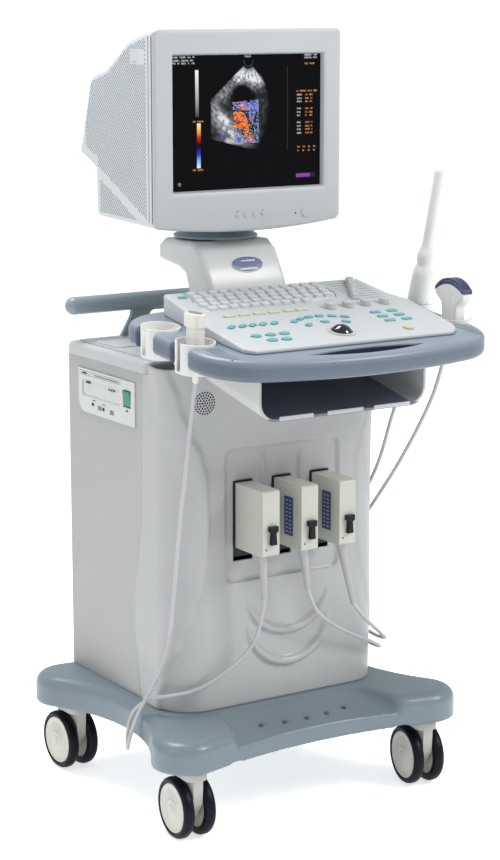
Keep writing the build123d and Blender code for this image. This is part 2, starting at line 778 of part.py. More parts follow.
def draw_function_keys(grow):
    """Oval, round and arc keys around the trackball and the wide key by the keyboard."""
    with Locations(on_panel(-162, -27)):
        RectangleRounded(15 + 2 * grow, 9 + 2 * grow, 4)
    for x in OVAL_KEYS:
        with Locations(Location((*on_panel(x, -172), 0), (0, 0, 35))):
            SlotOverall(18 + 2 * grow, 9 + 2 * grow)
    with Locations(*[on_panel(x, y) for x, y in CLUSTER_KEYS]):
        Ellipse(9 + grow, 6 + grow)
    for x, y in ARC_KEYS + INNER_ARC_KEYS:
        turn = degrees(atan2(y - BALL_Y, x - BALL_X)) - 90
        with Locations(Location((*on_panel(x, y), 0), (0, 0, turn))):
            RectangleRounded(14 + 2 * grow, 9 + 2 * grow, 3)
    with Locations(*[on_panel(x, y) for x, y in RIGHT_KEYS]):
        RectangleRounded(18 + 2 * grow, 9 + 2 * grow, 3)


def panel_spot(x, y, height):
    """Plane parallel to the panel's face, height above it, with its origin over (x, y)."""
    origin = PANEL_TOP.from_local_coords((*on_panel(x, y), height))
    return Plane(origin=origin, x_dir=(1, 0, 0), z_dir=PANEL_TOP.z_dir)


with BuildPart() as control_panel:
    with BuildSketch(Plane.XY.offset(760)):
        with BuildLine():
            Polyline(
                (-184, -2),
                (-199, -160),
                (-198, -262),
                (-184, -276),
                (184, -276),
                (200, -262),
                (208, -244),
                (213, -118),
                (198, -85),
                (190, -2),
                close=True,
            )
        make_face()
    extrude(amount=150)
    fillet(control_panel.edges().filter_by(Axis.Z), 8)
    split(bisect_by=PANEL_TOP, keep=Keep.BOTTOM)
    split(bisect_by=TABLE_TOP, keep=Keep.TOP)
    fillet(control_panel.faces().sort_by(Axis.Z)[-1].edges(), 3)
    with BuildSketch(ball_plane):
        Circle(21.5)
    extrude(amount=2)
    with BuildSketch(PANEL_TOP):
        draw_keyboard_area(0)
        draw_soft_keys(KEY_GAP)
        draw_function_keys(KEY_GAP)
        with Locations(on_panel(119, -246)):
            Circle(8 + KEY_GAP)
    extrude(amount=-WELL_DEPTH, mode=Mode.SUBTRACT)
    with BuildSketch(PANEL_TOP):
        for y in SLIDER_ROWS:
            with Locations(on_panel(sum(SLIDER_X) / 2, y)):
                Rectangle(SLIDER_X[1] - SLIDER_X[0], 2.4)
    extrude(amount=-7, mode=Mode.SUBTRACT)
    with BuildSketch(PANEL_TOP):
        with Locations(*[on_panel(x, KNOB_Y) for x in KNOB_X]):
            Circle(3.05)
    extrude(amount=-6, mode=Mode.SUBTRACT)
    with Locations(ball_centre):
        add(ball_cut.part, mode=Mode.SUBTRACT)
save(control_panel, "control_panel")

with BuildPart() as keyboard_keys:
    with BuildSketch(PANEL_TOP.offset(-1.8)):
        draw_keyboard_area(1)
    extrude(amount=0.8)
    with BuildSketch(PANEL_TOP.offset(-1)):
        draw_keyboard()
    extrude(amount=5, taper=8)
save(keyboard_keys, "keyboard_keys")

with BuildPart() as soft_keys:
    with BuildSketch(PANEL_TOP.offset(-1)):
        draw_soft_keys(0)
    extrude(amount=3.5, taper=6)
save(soft_keys, "soft_keys")

with BuildPart() as function_keys:
    with BuildSketch(PANEL_TOP.offset(-1)):
        draw_function_keys(0)
    extrude(amount=3)
save(function_keys, "function_keys")

with BuildPart() as freeze_key:
    with BuildSketch(panel_spot(119, -246, -1)):
        Circle(8)
    extrude(amount=5)
    fillet(freeze_key.faces().sort_by(Axis.Z)[-1].edges(), 2)
save(freeze_key, "freeze_key")

with BuildPart() as trackball:
    with BuildSketch(Plane.YZ.offset(BALL_X)):
        with Locations((ball_centre.Y, ball_centre.Z)):
            Circle(19)
            with Locations((0, -19)):
                Rectangle(60, 38, mode=Mode.SUBTRACT)
    revolve(
        axis=Axis(origin=(ball_centre.X, ball_centre.Y, ball_centre.Z), direction=(0, 1, 0)),
        revolution_arc=360,
    )
save(trackball, "trackball")

for number, x in enumerate(KNOB_X, start=1):
    with BuildPart() as knob:
        with BuildSketch(panel_spot(x, KNOB_Y, -5)):
            Circle(3)
        extrude(amount=6)
        with BuildSketch(panel_spot(x, KNOB_Y, 0.3)):
            Circle(8.8)
        extrude(amount=9, taper=3)
        fillet(knob.faces().sort_by(Axis.Z)[-1].edges(), 1.5)
        with BuildSketch(panel_spot(x, KNOB_Y, 9.3)):
            with Locations((0, 4)):
                Rectangle(1.2, 6)
        extrude(amount=-0.8, mode=Mode.SUBTRACT)
    save(knob, f"knob_{number}")

for number, (x, y) in enumerate(zip(SLIDER_CAP_X, SLIDER_ROWS), start=1):
    with BuildPart() as slider:
        with BuildSketch(panel_spot(x, y, -6)):
            Rectangle(5, 2.2)
        extrude(amount=7)
        with BuildSketch(panel_spot(x, y, 0.4)):
            RectangleRounded(14, 8, 2)
        extrude(amount=9, taper=8)
    save(slider, f"tgc_slider_{number}")

# ---------------------------------------------------------------- probe cups and rings
cup_floor = TABLE_BOTTOM.offset(-10)
with BuildPart() as probe_cups:
    for x, y in CUP_CENTRES:
        with BuildSketch(Plane.XY.offset(720)):
            with Locations((x, y)):
                Circle(CUP_OUTER_RADIUS)
        extrude(amount=120)
    split(bisect_by=TABLE_TOP.offset(4), keep=Keep.BOTTOM)
    split(bisect_by=cup_floor, keep=Keep.TOP)
with BuildPart() as cup_collars:
    for x, y in CUP_CENTRES:
        with BuildSketch(Plane.XY.offset(720)):
            with Locations((x, y)):
                Circle(36)
                Circle(CUP_OUTER_RADIUS - 1, mode=Mode.SUBTRACT)
            with Locations((x - 50, y)):
                Rectangle(60, 90, mode=Mode.SUBTRACT)
        extrude(amount=120)
    split(bisect_by=TABLE_BOTTOM, keep=Keep.BOTTOM)
    split(bisect_by=TABLE_BOTTOM.offset(-4), keep=Keep.TOP)
with BuildPart() as cup_hollows:
    for x, y in CUP_CENTRES:
        with BuildSketch(Plane.XY.offset(720)):
            with Locations((x, y)):
                Circle(CUP_INNER_RADIUS)
            with Locations((x - 24, y)):
                Rectangle(48, 12)
        extrude(amount=140)
    split(bisect_by=cup_floor.offset(3), keep=Keep.TOP)
with BuildPart() as cups_whole:
    add(probe_cups.part)
    add(cup_collars.part)
    add(cup_hollows.part, mode=Mode.SUBTRACT)
    with BuildSketch(Plane.XY.offset(700)):
        with Locations(*CUP_CENTRES):
            Circle(14)
    extrude(amount=100, mode=Mode.SUBTRACT)
save(cups_whole, "probe_cups")

with BuildPart() as probe_rings:
    for (x, y), radius in zip(RING_CENTRES, RING_OUTER_RADII):
        top = table_top_z(y) + 3
        with BuildSketch(Plane.XY.offset(top - 15)):
            with Locations((x, y)):
                Circle(radius)
                Circle(radius - RING_WALL, mode=Mode.SUBTRACT)
            with Locations((x + radius, y)):
                Rectangle(30, 24, mode=Mode.SUBTRACT)
            with Locations((x - radius - RING_GAP / 2, y)):
                Rectangle(RING_GAP + 1, 12)
            with Locations((x, y)):
                Circle(radius + RING_GAP, mode=Mode.INTERSECT)
        extrude(amount=15)
    with BuildSketch(Plane.XY.offset(table_top_z(RING_CENTRES[0][1]) - 12)):
        with Locations(RING_CENTRES[0]):
            Circle(RING_OUTER_RADII[0] - RING_WALL + 0.5)
            Circle(13.5, mode=Mode.SUBTRACT)
        with Locations((RING_CENTRES[0][0] + 25, RING_CENTRES[0][1])):
            Rectangle(40, 24, mode=Mode.SUBTRACT)
    extrude(amount=2.5)
save(probe_rings, "probe_rings")

# ---------------------------------------------------------------- storage bin
BIN_FRONT_Y = -242
BIN_HALF_WIDTH = 157
BIN_FLOOR_FRONT_Z = 677
BIN_SLOPE = 12
BIN_WALL = 4
bin_axis = Plane(
    origin=(0, BIN_FRONT_Y, BIN_FLOOR_FRONT_Z),
    x_dir=(-1, 0, 0),
    z_dir=(0, cos(radians(BIN_SLOPE)), sin(radians(BIN_SLOPE))),
)


def draw_bin_section(inset):
    """Section of the bin across its length: upright walls and round lower corners."""
    half = BIN_HALF_WIDTH - inset
    with Locations((0, 100)):
        RectangleRounded(2 * half, 200 - 2 * inset, 30 - inset)


with BuildPart() as storage_bin:
    with BuildSketch(bin_axis.offset(-40)):
        draw_bin_section(0)
    extrude(amount=300)
    with BuildSketch(bin_axis.offset(-40)):
        draw_bin_section(BIN_WALL)
    extrude(amount=205, mode=Mode.SUBTRACT)
    split(bisect_by=TABLE_BOTTOM, keep=Keep.BOTTOM)
    split(bisect_by=Plane.XZ.offset(-BIN_FRONT_Y), keep=Keep.BOTTOM)
    split(bisect_by=Plane.XZ.offset(-CABINET_FRONT_Y), keep=Keep.TOP)
save(storage_bin, "storage_bin")

# ---------------------------------------------------------------- rear handle
HANDLE_Y = 266
HANDLE_Z = 800
HANDLE_HALF_LENGTH = 214
with BuildPart() as rear_handle:
    with BuildSketch(Plane.YZ.offset(-HANDLE_HALF_LENGTH)):
        with Locations((HANDLE_Y, HANDLE_Z)):
            Circle(15)
    extrude(amount=2 * HANDLE_HALF_LENGTH)
    fillet(rear_handle.edges().filter_by(GeomType.CIRCLE), 14)
    with BuildSketch(Plane.XZ.offset(-HANDLE_Y)):
        with BuildLine():
            Polyline(
                (-110, LID_INSET_TOP),
                (110, LID_INSET_TOP),
                (90, HANDLE_Z - 25),
                (86, HANDLE_Z),
                (-86, HANDLE_Z),
                (-90, HANDLE_Z - 25),
                close=True,
            )
        make_face()
        with Locations((0, 770)):
            RectangleRounded(110, 26, 10, mode=Mode.SUBTRACT)
    extrude(amount=4, both=True)
save(rear_handle, "rear_handle")

# ---------------------------------------------------------------- monitor column and swivel
with BuildPart() as table_arm:
    with BuildSketch(Plane.XY.offset(LID_INSET_TOP)):
        with Locations((0, -10)):
            Rectangle(120, 100)
    extrude(amount=80)
    split(bisect_by=TABLE_BOTTOM, keep=Keep.BOTTOM)
with BuildPart() as monitor_column:
    with BuildSketch(Plane.YZ):
        with BuildLine():
            Polyline(
                (COLUMN_FRONT_Y, LID_INSET_TOP),
                (COLUMN_FRONT_Y, 848),
                (63, 902),
                (85, COLUMN_TOP),
                (178, COLUMN_TOP),
                (196, 905),
                (196, 880),
                (180, 877),
                (135, 872),
                (112, 862),
                (102, 840),
                (101, LID_INSET_TOP),
                close=True,
            )
        make_face()
    extrude(amount=COLUMN_HALF_WIDTH, both=True)
    fillet(monitor_column.edges().filter_by(Plane.YZ).group_by(Axis.X)[0], 10)
    fillet(monitor_column.edges().filter_by(Plane.YZ).group_by(Axis.X)[-1], 10)
    add(table_arm.part)
    with BuildSketch(Plane.XY.offset(COLUMN_TOP)):
        with Locations((0, SWIVEL_Y)):
            Circle(10.05)
    extrude(amount=-23, mode=Mode.SUBTRACT)
save(monitor_column, "monitor_column")

DISH_RADIUS = 70
DISH_BOTTOM = COLUMN_TOP + 0.3
with BuildPart() as swivel_dish:
    with BuildSketch(Plane.XZ.offset(-SWIVEL_Y)):
        with BuildLine():
            Polyline(
                (0, DISH_BOTTOM - 22),
                (10, DISH_BOTTOM - 22),
                (10, DISH_BOTTOM),
                (58, DISH_BOTTOM),
                (DISH_RADIUS, DISH_BOTTOM + 3),
                (DISH_RADIUS, DISH_BOTTOM + 6),
                (58, DISH_BOTTOM + 13),
                (46, DISH_BOTTOM + 17),
                (0, DISH_BOTTOM + 18),
                close=True,
            )
        make_face()
    revolve(axis=Axis(origin=(0, SWIVEL_Y, 0), direction=(0, 0, 1)), revolution_arc=360)
    for x in (30, -40):
        with BuildSketch(Plane.YZ.offset(x)):
            with Locations((SWIVEL_Y, TILT_AXIS_Z)):
                Circle(6)
            with Locations((SWIVEL_Y, TILT_AXIS_Z - 6)):
                Rectangle(12, 12)
        extrude(amount=10)
    with BuildSketch(Plane.YZ.offset(-41)):
        with Locations((SWIVEL_Y, TILT_AXIS_Z)):
            Circle(3.05)
    extrude(amount=82, mode=Mode.SUBTRACT)
save(swivel_dish, "swivel_dish")

# ---------------------------------------------------------------- monitor
SHELL_PROFILE = (
    (MONITOR_SEAM_Y, MONITOR_BOTTOM),
    (MONITOR_SEAM_Y, 1258),
    (53, 1257),
    (94, 1250),
    (135, 1240),
    (186, 1214),
    (230, 1194),
    (278, 1186),
    (292, 1174),
    (MONITOR_REAR_Y, 1060),
    (MONITOR_REAR_Y, 1048),
    (268, 1025),
    (265, MONITOR_BOTTOM),
)


def shell_half_width(y):
    """Half-width of the shell at y, narrowing towards the rear."""
    return MONITOR_HALF_WIDTH - SIDE_TAPER * (y - MONITOR_SEAM_Y)


def make_shell_body(wall):
    """Solid of the shell's outline drawn in by wall."""
    front = MONITOR_SEAM_Y
    back = MONITOR_REAR_Y + 1
    with BuildPart() as body:
        with BuildSketch(Plane.YZ):
            with BuildLine():
                Polyline(*SHELL_PROFILE, close=True)
            make_face()
            if wall:
                offset(amount=-wall, kind=Kind.INTERSECTION, mode=Mode.REPLACE)
        extrude(amount=MONITOR_HALF_WIDTH, both=True)
        with BuildSketch(Plane.XY.offset(900)):
            with BuildLine():
                Polyline(
                    (-shell_half_width(front) + wall, front - 1),
                    (-shell_half_width(back) + wall, back),
                    (shell_half_width(back) - wall, back),
                    (shell_half_width(front) - wall, front - 1),
                    close=True,
                )
            make_face()
        extrude(amount=400, mode=Mode.INTERSECT)
    return body


shell_body = make_shell_body(0)
shell_hollow = make_shell_body(SHELL_WALL)
with BuildPart() as monitor_shell:
    add(shell_body.part)
    add(shell_hollow.part, mode=Mode.SUBTRACT)
    with BuildSketch(Plane.XZ.offset(-MONITOR_SEAM_Y + 1)):
        with Locations((0, (MONITOR_BOTTOM + 1257) / 2)):
            RectangleRounded(2 * MONITOR_HALF_WIDTH - 9, 1257 - MONITOR_BOTTOM - 8, 16)
    extrude(amount=-6, mode=Mode.SUBTRACT)
    with BuildSketch(Plane.YZ.offset(-29.7)):
        with Locations((SWIVEL_Y, TILT_AXIS_Z)):
            Circle(6)
        with Locations((SWIVEL_Y, TILT_AXIS_Z + 5)):
            Rectangle(12, 10)
    extrude(amount=59.4)
    with BuildSketch(Plane.YZ.offset(-40)):
        with Locations((SWIVEL_Y, TILT_AXIS_Z)):
            Circle(3)
    extrude(amount=80)
save(monitor_shell, "monitor_shell")

SMALL_BUTTON_X = (-24, -8, 9, 26)
SMALL_BUTTON_Z = 963
POWER_BUTTON = (108, 961)
MONITOR_FRONT = Plane(origin=(0, MONITOR_FRONT_Y, 0), x_dir=(1, 0, 0), z_dir=(0, -1, 0))
with BuildPart() as monitor_bezel:
    with BuildSketch(MONITOR_FRONT):
        with BuildLine():
            half = MONITOR_HALF_WIDTH
            Line((-half, 970), (-half, 1238))
            ThreePointArc((-half, 1238), (-half + 6.4, 1253.6), (-half + 22, 1260))
            Line((-half + 22, 1260), (half - 22, 1260))
            ThreePointArc((half - 22, 1260), (half - 6.4, 1253.6), (half, 1238))
            Line((half, 1238), (half, 970))
            ThreePointArc((half, 970), (half - 6.4, 954.4), (half - 22, MONITOR_BOTTOM))
            ThreePointArc((half - 22, MONITOR_BOTTOM), (0, 936), (-half + 22, MONITOR_BOTTOM))
            ThreePointArc((-half + 22, MONITOR_BOTTOM), (-half + 6.4, 954.4), (-half, 970))
        make_face()
    extrude(amount=MONITOR_FRONT_Y - MONITOR_SEAM_Y)
    fillet(monitor_bezel.faces().sort_by(Axis.Y)[0].edges(), 5)
    with BuildSketch(MONITOR_FRONT):
        with Locations((0, (SCREEN_BOTTOM + SCREEN_TOP) / 2)):
            RectangleRounded(2 * SCREEN_HALF_WIDTH, SCREEN_TOP - SCREEN_BOTTOM, 3)
    extrude(amount=-10, mode=Mode.SUBTRACT)
    with BuildSketch(MONITOR_FRONT):
        with Locations(*[(x, SMALL_BUTTON_Z) for x in SMALL_BUTTON_X]):
            Circle(3.5)
        with Locations(POWER_BUTTON):
            Circle(7.4)
    extrude(amount=-5, mode=Mode.SUBTRACT)
save(monitor_bezel, "monitor_bezel")

with BuildPart() as picture_tube:
    with BuildSketch(MONITOR_FRONT.offset(-8.2)):
        with Locations((0, (SCREEN_BOTTOM + SCREEN_TOP) / 2)):
            RectangleRounded(2 * SCREEN_HALF_WIDTH + 12, SCREEN_TOP - SCREEN_BOTTOM + 12, 14)
    extrude(amount=-24)
    with BuildSketch(MONITOR_FRONT.offset(-32.2)):
        with Locations((0, (SCREEN_BOTTOM + SCREEN_TOP) / 2)):
            RectangleRounded(2 * SCREEN_HALF_WIDTH, SCREEN_TOP - SCREEN_BOTTOM, 14)
    with BuildSketch(MONITOR_FRONT.offset(-150)):
        with Locations((0, (SCREEN_BOTTOM + SCREEN_TOP) / 2)):
            RectangleRounded(60, 60, 14)
    loft()
    with BuildSketch(MONITOR_FRONT.offset(-150)):
        with Locations((0, (SCREEN_BOTTOM + SCREEN_TOP) / 2)):
            Circle(16)
    extrude(amount=-90)
    with BuildSketch(MONITOR_FRONT.offset(-24)):
        with Locations((0, (SCREEN_BOTTOM + SCREEN_TOP) / 2)):
            RectangleRounded(2 * SCREEN_HALF_WIDTH - 14, SCREEN_TOP - SCREEN_BOTTOM - 14, 10)
    with BuildSketch(MONITOR_FRONT.offset(-150)):
        with Locations((0, (SCREEN_BOTTOM + SCREEN_TOP) / 2)):
            RectangleRounded(44, 44, 10)
    loft(mode=Mode.SUBTRACT)
    with BuildSketch(MONITOR_FRONT.offset(-149)):
        with Locations((0, (SCREEN_BOTTOM + SCREEN_TOP) / 2)):
            Circle(12)
    extrude(amount=-91, mode=Mode.SUBTRACT)
save(picture_tube, "picture_tube")

with BuildPart() as monitor_buttons:
    with BuildSketch(MONITOR_FRONT.offset(-2.5)):
        with Locations(*[(x, SMALL_BUTTON_Z) for x in SMALL_BUTTON_X]):
            Circle(3.1)
    extrude(amount=4)
    fillet(monitor_buttons.faces().group_by(Axis.Y)[0].edges(), 1)
save(monitor_buttons, "monitor_buttons")

with BuildPart() as monitor_power_button:
    with BuildSketch(MONITOR_FRONT.offset(-2.5)):
        with Locations(POWER_BUTTON):
            Circle(7)
    extrude(amount=4)
    fillet(monitor_power_button.faces().sort_by(Axis.Y)[0].edges(), 1)
save(monitor_power_button, "monitor_power_button")

# ---------------------------------------------------------------- probes
ENDO_BASE = (257, -84, 803)
ENDO_LEAN = Vector(20, -35, 236).normalized()


def endo_plane(height):
    """Plane across the endocavity probe, height along its axis."""
    origin = Vector(*ENDO_BASE) + ENDO_LEAN * height
    return Plane(origin=origin, x_dir=(1, 0, -ENDO_LEAN.X / ENDO_LEAN.Z), z_dir=ENDO_LEAN)


with BuildPart() as endocavity_probe:
    for low, high, start, end in (
        (0, 12, 14, 18.5),
        (12, 62, 18.5, 17),
        (62, 74, 17, 13),
        (74, 90, 13, 15),
        (90, 106, 15, 9.8),
        (106, 222, 9.8, 10.2),
    ):
        with BuildSketch(endo_plane(low)):
            Circle(start)
        with BuildSketch(endo_plane(high)):
            Circle(end)
        loft(ruled=True)
    with BuildSketch(endo_plane(58)):
        with Locations((11, 0)):
            RectangleRounded(22, 9, 4)
    extrude(amount=7)
    with BuildSketch(endo_plane(222)):
        Circle(10.2)
    extrude(amount=15)
    fillet(endocavity_probe.faces().sort_by(Axis.Z)[-1].edges(), 8)
    tapered_boot(
        ENDO_BASE,
        CABLE_ROUTES["cable_endocavity"][-1],
        9,
        ENDO_LEAN * -1,
        cable_direction("cable_endocavity", -1, -2),
    )
save(endocavity_probe, "endocavity_probe")

CONVEX_X = 249
CONVEX_Y = -192
with BuildPart() as convex_probe:
    with BuildSketch(Plane.YZ.offset(CONVEX_X)):
        with BuildLine():
            Line((CONVEX_Y - 37, 845), (CONVEX_Y - 35, 834))
            Line((CONVEX_Y - 35, 834), (CONVEX_Y - 20, 822))
            Line((CONVEX_Y - 20, 822), (CONVEX_Y - 17, 792))
            Line((CONVEX_Y - 17, 792), (CONVEX_Y - 12, 776))
            Line((CONVEX_Y - 12, 776), (CONVEX_Y + 12, 776))
            Line((CONVEX_Y + 12, 776), (CONVEX_Y + 17, 792))
            Line((CONVEX_Y + 17, 792), (CONVEX_Y + 20, 826))
            Line((CONVEX_Y + 20, 826), (CONVEX_Y + 35, 838))
            Line((CONVEX_Y + 35, 838), (CONVEX_Y + 38, 847))
            ThreePointArc((CONVEX_Y + 38, 847), (CONVEX_Y, 862), (CONVEX_Y - 37, 845))
        make_face()
    extrude(amount=11, both=True)
    fillet(convex_probe.edges().filter_by(GeomType.LINE).filter_by(Plane.YZ), 4)
    with BuildSketch(Plane.YZ.offset(CONVEX_X)):
        with BuildLine():
            ThreePointArc((CONVEX_Y + 36, 847), (CONVEX_Y, 862), (CONVEX_Y - 35, 845))
            ThreePointArc((CONVEX_Y + 36, 851), (CONVEX_Y, 866), (CONVEX_Y - 35, 849))
            Line((CONVEX_Y + 36, 847), (CONVEX_Y + 36, 851))
            Line((CONVEX_Y - 35, 845), (CONVEX_Y - 35, 849))
        make_face()
    extrude(amount=9, both=True)
    tapered_boot(
        (CONVEX_X, CONVEX_Y, 776),
        CABLE_ROUTES["cable_convex"][-1],
        9,
        (0, 0, -1),
        cable_direction("cable_convex", -1, -2),
    )
save(convex_probe, "convex_probe")

LINEAR_X = -229.5
LINEAR_Y = -177
with BuildPart() as linear_probe:
    with BuildSketch(Plane.XY.offset(823)):
        with Locations((LINEAR_X, LINEAR_Y)):
            RectangleRounded(21, 40, 6)
    extrude(amount=21)
    fillet(linear_probe.faces().sort_by(Axis.Z)[-1].edges(), 2)
    with BuildSketch(Plane.XY.offset(844)):
        with Locations((LINEAR_X, LINEAR_Y)):
            RectangleRounded(9, 32, 3)
    extrude(amount=1.5)
    with BuildSketch(Plane.XY.offset(786)):
        with Locations((LINEAR_X, LINEAR_Y)):
            RectangleRounded(18, 34, 7)
    extrude(amount=37)
    tapered_boot(
        (LINEAR_X, LINEAR_Y, 786),
        CABLE_ROUTES["cable_linear"][0],
        7.8,
        (0, 0, -1),
        cable_direction("cable_linear", 0, 1),
    )
save(linear_probe, "linear_probe")


# ---------------------------------------------------------------- cables
def route_radii(points):
    """Largest tangent arc at each corner: 0.45 of the shorter run over the tangent of half the turn."""
    radii = []
    for before, corner, after in zip(points, points[1:], points[2:]):
        first = Vector(*corner) - Vector(*before)
        second = Vector(*after) - Vector(*corner)
        turn = first.get_angle(second)
        radii.append(0.45 * min(first.length, second.length) / tan(radians(turn) / 2))
    return radii


def make_cable(name, points):
    """Round tube along straight runs joined by tangent arcs."""
    radii = route_radii(points)
    runs = [(Vector(*b) - Vector(*a)).length for a, b in zip(points, points[1:])]
    with BuildPart() as cable:
        with BuildLine():
            route = FilletPolyline(*points, radius=radii)
        with BuildSketch(Plane(origin=points[0], z_dir=route % 0)):
            Circle(CABLE_RADIUS)
        sweep()
    length = route.length
    share = cable.part.volume / (pi * CABLE_RADIUS**2 * length)
    print(name, "length", round(length), "volume share", round(share, 4))
    print("  radii", [round(radius) for radius in radii])
    print("  runs", [round(run) for run in runs])
    save(cable, name)


for cable_name, cable_points in CABLE_ROUTES.items():
    make_cable(cable_name, cable_points)
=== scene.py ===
"""Looks of a mobile ultrasound machine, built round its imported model."""

import bpy
import json
import math
import numpy as np
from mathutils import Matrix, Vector


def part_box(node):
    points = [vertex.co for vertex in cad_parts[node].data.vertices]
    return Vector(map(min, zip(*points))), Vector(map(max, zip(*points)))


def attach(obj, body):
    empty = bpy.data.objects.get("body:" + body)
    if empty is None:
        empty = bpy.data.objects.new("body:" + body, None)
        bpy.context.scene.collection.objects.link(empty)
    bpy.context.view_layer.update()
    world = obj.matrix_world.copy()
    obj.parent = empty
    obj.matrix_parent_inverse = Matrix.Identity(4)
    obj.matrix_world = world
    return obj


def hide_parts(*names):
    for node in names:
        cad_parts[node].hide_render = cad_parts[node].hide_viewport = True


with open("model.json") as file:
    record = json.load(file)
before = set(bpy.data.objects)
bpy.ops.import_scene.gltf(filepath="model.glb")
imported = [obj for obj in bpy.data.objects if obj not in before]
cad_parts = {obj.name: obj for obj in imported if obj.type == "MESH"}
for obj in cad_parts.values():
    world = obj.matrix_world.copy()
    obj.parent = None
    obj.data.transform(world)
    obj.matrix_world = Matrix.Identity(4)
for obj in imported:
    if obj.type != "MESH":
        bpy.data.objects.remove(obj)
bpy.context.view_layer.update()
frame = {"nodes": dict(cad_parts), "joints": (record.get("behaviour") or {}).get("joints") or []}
NODES = frame["nodes"]
scene = bpy.context.scene
MM = 0.001


def mm(*values):
    """A point given in millimetres, in metres."""
    return Vector([value * MM for value in values])


# ---- camera
CAMERA_AT = (-1.8987, -2.9293, 1.3079)
CAMERA_AZIMUTH = math.radians(-32.7)
CAMERA_DROP = math.radians(11.3)
camera_data = bpy.data.cameras.new("camera")
camera_data.lens = 90.5
camera_data.sensor_width = 36
camera = bpy.data.objects.new("camera", camera_data)
scene.collection.objects.link(camera)
look = Vector(
    (
        -math.sin(CAMERA_AZIMUTH) * math.cos(CAMERA_DROP),
        math.cos(CAMERA_AZIMUTH) * math.cos(CAMERA_DROP),
        -math.sin(CAMERA_DROP),
    )
)
camera.location = CAMERA_AT
camera.rotation_euler = look.to_track_quat("-Z", "Y").to_euler()
scene.camera = camera


# ---- materials
class Tree:
    """A new node material, with short calls that add nodes to it."""

    def __init__(self, name):
        self.material = bpy.data.materials.new(name)
        self.material.use_nodes = True
        self.nodes = self.material.node_tree.nodes
        self.link = self.material.node_tree.links.new
        self.shader = self.nodes["Principled BSDF"].inputs

    def add(self, kind, **settings):
        """A node with its sockets or properties set."""
        node = self.nodes.new(kind)
        for key, value in settings.items():
            if key in node.inputs:
                node.inputs[key].default_value = value
            else:
                setattr(node, key, value)
        return node

    def math(self, operation, *values):
        """A math node fed by sockets or numbers."""
        node = self.add("ShaderNodeMath", operation=operation)
        for socket, value in zip(node.inputs, values):
            if isinstance(value, (int, float)):
                socket.default_value = value
            else:
                self.link(value, socket)
        return node.outputs[0]

    def mix(self, factor, low, high):
        """A colour mix between two colours or sockets."""
        node = self.add("ShaderNodeMix", data_type="RGBA")
        for index, value in ((0, factor), (6, low), (7, high)):
            if isinstance(value, bpy.types.NodeSocket):
                self.link(value, node.inputs[index])
            elif isinstance(value, (int, float)):
                node.inputs[index].default_value = value
            else:
                node.inputs[index].default_value = (*value, 1)
        return node.outputs[2]

    def compare(self, first, second, above=True, width=0.0001):
        """1 where first is above (or below) second, with a narrow soft edge."""
        pair = (first, second) if above else (second, first)
        node = self.add("ShaderNodeMapRange")
        node.inputs["From Min"].default_value = -width
        node.inputs["From Max"].default_value = width
        self.link(self.math("SUBTRACT", *pair), node.inputs["Value"])
        return node.outputs["Result"]

    def all_of(self, *masks):
        """The product of several masks."""
        result = masks[0]
        for mask in masks[1:]:
            result = self.math("MULTIPLY", result, mask)
        return result

    def split(self, place):
        """X, Y and Z of a position socket."""
        node = self.add("ShaderNodeSeparateXYZ")
        self.link(place, node.inputs[0])
        return node.outputs

    def past_corner(self, first, second):
        """Distance past a corner, from how far a place is past each of its two lines."""
        squares = [self.math("POWER", self.math("MAXIMUM", v, 0.0), 2.0) for v in (first, second)]
        return self.math("SQRT", self.math("ADD", *squares))


# Tilted faces of the CAD that masks follow: tilt in degrees, a point on the face in metres
TABLE_TILT, TABLE_Z, TABLE_Y = 5.5, 0.790, -0.269
PANEL_TILT, PANEL_Z, PANEL_Y = 11.1, 0.798, -0.264
BIN_TILT, BIN_FLOOR_Z, BIN_FRONT_Y, BIN_LIP_Y = 12, 0.677, -0.242, -0.2405
# y and z of the centre and the radius of the media panel's rounded corner
MEDIA_CORNER = (0.222, 0.650, 0.024)
SIDE_COLOR = (0.39, 0.397, 0.385)
DUST_COLOR = (0.32, 0.31, 0.29)


